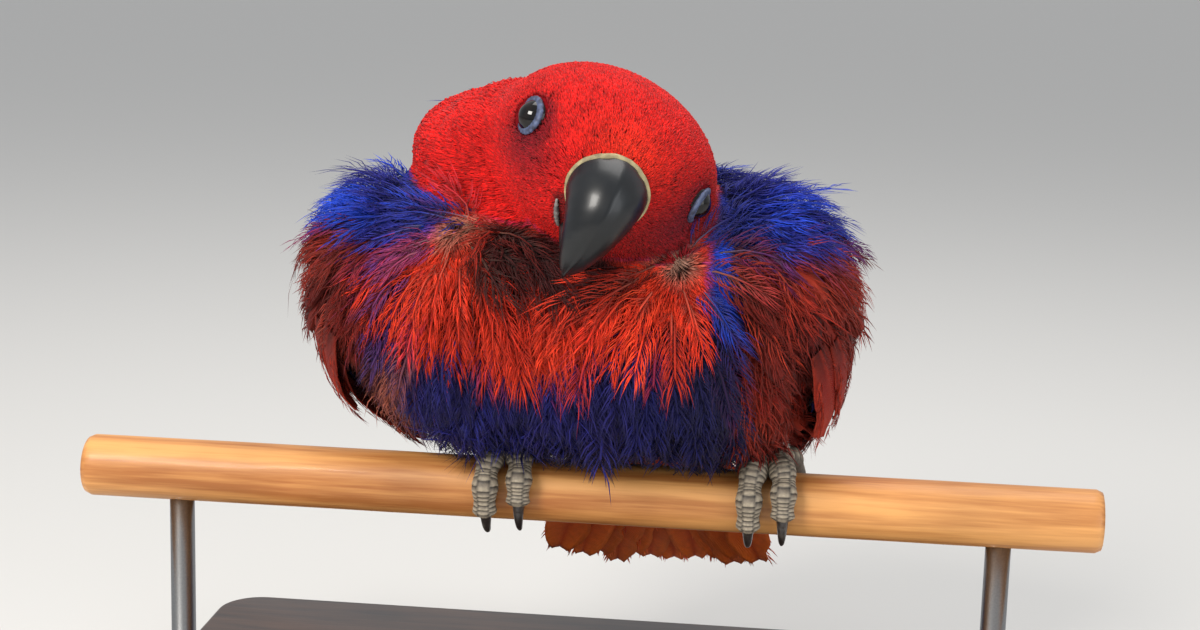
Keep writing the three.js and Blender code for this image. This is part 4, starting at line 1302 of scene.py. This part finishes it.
def claw(side, index):
    """A hooked claw, round the perch from the toe's end."""
    reach, spread = TOE_REACH[index], TOE_SPREAD[index]
    start = reach - math.copysign(3, reach)
    stop = reach + math.copysign(13 + CLAW_REACH, reach)
    t = np.linspace(0, 1, 40)
    hook = np.clip((t - 0.2) / 0.8, 0, 1)
    clearance = GAP + 2.6 + 1.6 * np.sin(hook * math.pi * 0.8) - 1.4 * hook
    line = toe_line(FOOT_X[side], spread, start, stop, clearance, t)
    radius = (2.35 * (1 - t) ** 0.75 + 0.14)[:, None]
    vertices, faces = tube_along(line, off_perch(line), radius * 0.82, radius * 1.05, 22)
    length = np.concatenate([np.repeat(t, 22), [0, 1]])
    tone = mix(paint(46, 40, 38), paint(18, 16, 16), smoothstep(0.1, 0.7, length))
    tone = patched(tone, paint(120, 112, 104), vertices, 1.6, 4, 0, 0.4)
    name = f"{side}_{index + 1}"
    add_piece(f"nail_{name}", vertices, faces, tone, "claw", "claw", f"claw_{name}")


def leg_ring():
    """The closed metal band, with rounded edges."""
    inner, outer, half, edge = TARSUS_RADIUS + 1.3, TARSUS_RADIUS + 2.2, 1.7, 0.3
    corners = ((outer - edge, half - edge), (inner + edge, half - edge),
               (inner + edge, -half + edge), (outer - edge, -half + edge))
    outline = np.array([(x + edge * math.cos(a), z + edge * math.sin(a))
                        for k, (x, z) in enumerate(corners)
                        for a in np.radians(np.linspace(90 * k, 90 * k + 90, 6))])
    turns = 72
    angle = circle(turns)[:, None]
    points = np.stack([outline[:, 0] * np.cos(angle), outline[:, 0] * np.sin(angle),
                       outline[:, 1] * np.ones((turns, 1))], -1)
    vertices = points.reshape(-1, 3) @ turned("X", -14).T + np.array([FOOT_X["left"], 2.3, PERCH_TOP + 9.4])
    quads = ring_quads(turns, len(outline), closed=True)[:, ::-1]
    add_piece("ring_on_leg", vertices, quads, None, "metal", "metal", "leg_band")


# Perch and stand

X_AXIS, Y_AXIS, Z_AXIS = np.eye(3)


def dowel():
    """The wooden perch: a slightly uneven dowel with softened sawn ends."""
    steps, sides, bevel = 180, 96, 0.8
    x = np.linspace(-PERCH_HALF, PERCH_HALF, steps)
    from_end = PERCH_HALF - np.abs(x)
    radius = PERCH_RADIUS - bevel * (1 - np.sqrt(np.clip(from_end / bevel, 0, 1)))
    line = np.stack([x, np.zeros(steps), np.full(steps, PERCH_AXIS)], -1)
    rough = np.array([[noise.noise(Vector((a / 40, math.cos(b) * 1.5, math.sin(b) * 1.5)))
                       for b in circle(sides)] for a in x])
    radii = radius[:, None] - 0.12 * np.abs(rough)
    vertices, faces = tube_mesh(line, Y_AXIS[None], Z_AXIS[None], radii, radii, sides)
    add_piece("dowel", vertices, faces, None, "dowel", "wood", "perch")


def stand_base():
    """The stand's flat base, with an eased edge."""
    low, high = (np.array(end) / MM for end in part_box("stand_base"))
    corner, bevel = 16.0, 1.6
    centre, half = (low + high) / 2, (high - low) / 2
    levels = [(low[2], bevel * 0.6), (low[2] + bevel * 0.6, 0.0)]
    levels += [(high[2] - bevel + bevel * math.sin(a), bevel * (1 - math.cos(a)))
               for a in np.radians(np.linspace(0, 90, 6))]
    signs = ((1, 1), (-1, 1), (-1, -1), (1, -1))
    arc = np.linspace(0, math.pi / 2, 10)
    points = [(centre[0] + sx * (half[0] - corner) + (corner - inset) * math.cos(a),
               centre[1] + sy * (half[1] - corner) + (corner - inset) * math.sin(a), z)
              for z, inset in levels
              for k, (sx, sy) in enumerate(signs)
              for a in arc + k * math.pi / 2]
    points += [(centre[0], centre[1], low[2]), (centre[0], centre[1], high[2])]
    faces = ring_faces(len(levels), len(signs) * len(arc))
    add_piece("base_board", np.array(points), faces, None, "base", "stand_wood", "stand_base")


def stand_rod(side):
    """A steel rod on a small foot."""
    low, high = (np.array(end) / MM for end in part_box(f"stand_rod_{side}"))
    centre, radius = (low + high) / 2, (high[0] - low[0]) / 2
    foot_height = 3.0
    z = low[2] + np.array([0, foot_height - 0.6, foot_height, foot_height + 0.3, high[2] + 0.5 - low[2]])
    size = radius + np.array([2.4, 2.4, 1.8, 0, 0])[:, None]
    line = np.stack([np.full(5, centre[0]), np.full(5, centre[1]), z], -1)
    vertices, faces = tube_mesh(line, X_AXIS[None], Y_AXIS[None], size, size, 48)
    made = add_piece(f"rod_{side}", vertices, faces, None, "rod", "stand_rod", f"stand_rod_{side}")
    for polygon in made.data.polygons:
        polygon.use_smooth = abs(polygon.normal.z) < 0.5


# Stage, light and camera

def backdrop():
    """A plain pale floor, wide enough to fill the picture."""
    reach, angle = 9000.0, circle(96)
    points = np.stack([reach * np.cos(angle), reach * np.sin(angle), np.full(len(angle), -0.2)], -1)
    made = mesh_object("floor", points, np.arange(len(angle))[None])
    material, shader = new_material("floor")
    feed(material, shader, {"Base Color": (0.66, 0.65, 0.63, 1), "Roughness": 0.9})
    made.data.materials.append(material)


def soft_light(name, place, aim, size, power, colour):
    data = bpy.data.lights.new(name, "AREA")
    data.size = size
    data.energy = power
    data.color = colour
    lamp = bpy.data.objects.new(name, data)
    lamp.location = place
    lamp.rotation_euler = (Vector(aim) - Vector(place)).to_track_quat("-Z", "Y").to_euler()
    bpy.context.scene.collection.objects.link(lamp)


def lights():
    aim = (0.0, 0.0, 0.16)
    soft_light("key", (-0.55, -0.85, 0.85), aim, 0.4, 13, (1.0, 0.96, 0.9))
    soft_light("fill", (0.95, -0.65, 0.4), aim, 0.8, 4.5, (0.94, 0.97, 1.0))
    soft_light("top", (0.1, 0.3, 1.2), aim, 0.7, 6, (1.0, 0.98, 0.95))
    world = bpy.data.worlds.new("studio")
    bpy.context.scene.world = world
    world.use_nodes = True
    world.node_tree.nodes["Background"].inputs["Color"].default_value = (0.95, 0.97, 1.0, 1)
    world.node_tree.nodes["Background"].inputs["Strength"].default_value = 0.6
    bpy.context.scene.view_settings.view_transform = "Standard"


CAMERA = {"azimuth": 6.0, "elevation": 11.0, "distance": 0.64, "lens": 61.0, "roll": 1.6}
CAMERA_AIM = (0.004, 0.0, 0.152)


def camera():
    azimuth, elevation = math.radians(CAMERA["azimuth"]), math.radians(CAMERA["elevation"])
    back = Vector((math.sin(azimuth) * math.cos(elevation), -math.cos(azimuth) * math.cos(elevation),
                   math.sin(elevation)))
    data = bpy.data.cameras.new("camera")
    data.lens = CAMERA["lens"]
    data.clip_start = 0.01
    made = bpy.data.objects.new("camera", data)
    made.location = Vector(CAMERA_AIM) + back * CAMERA["distance"]
    look = (-back).to_track_quat("-Z", "Y").to_matrix().to_4x4()
    made.matrix_world = (Matrix.Translation(made.location) @ look
                         @ Matrix.Rotation(math.radians(CAMERA["roll"]), 4, "Z"))
    bpy.context.scene.collection.objects.link(made)
    bpy.context.scene.camera = made


# Everything together

camera()
lights()
backdrop()

skin_piece = build_skin()
skin_points = read(skin_piece.data.vertices, "co", 3).astype(float) / MM
skin_shade = mix(np.array([0.22]), np.array([0.7]), regions(skin_points)["hood"])  # the coat is lighter
colour_points(skin_piece.data, plumage(skin_points) * skin_shade)
finish_piece(skin_piece, "skin", "crimson", "head", "neck", "torso")
skin = Skin(skin_piece)

hood_coats(skin)
body_coats(skin)
for hand in (1, -1):
    wing_feathers(hand)
    eye(hand)
    lids(hand)
    gape(hand)
tail_feathers()
upper_bill()
lower_bill()
bill_rim()
for which in ("left", "right"):
    foot(which)
    for toe in range(len(TOE_REACH)):
        claw(which, toe)
    stand_rod(which)
leg_ring()
dowel()
stand_base()

bpy.context.view_layer.update()
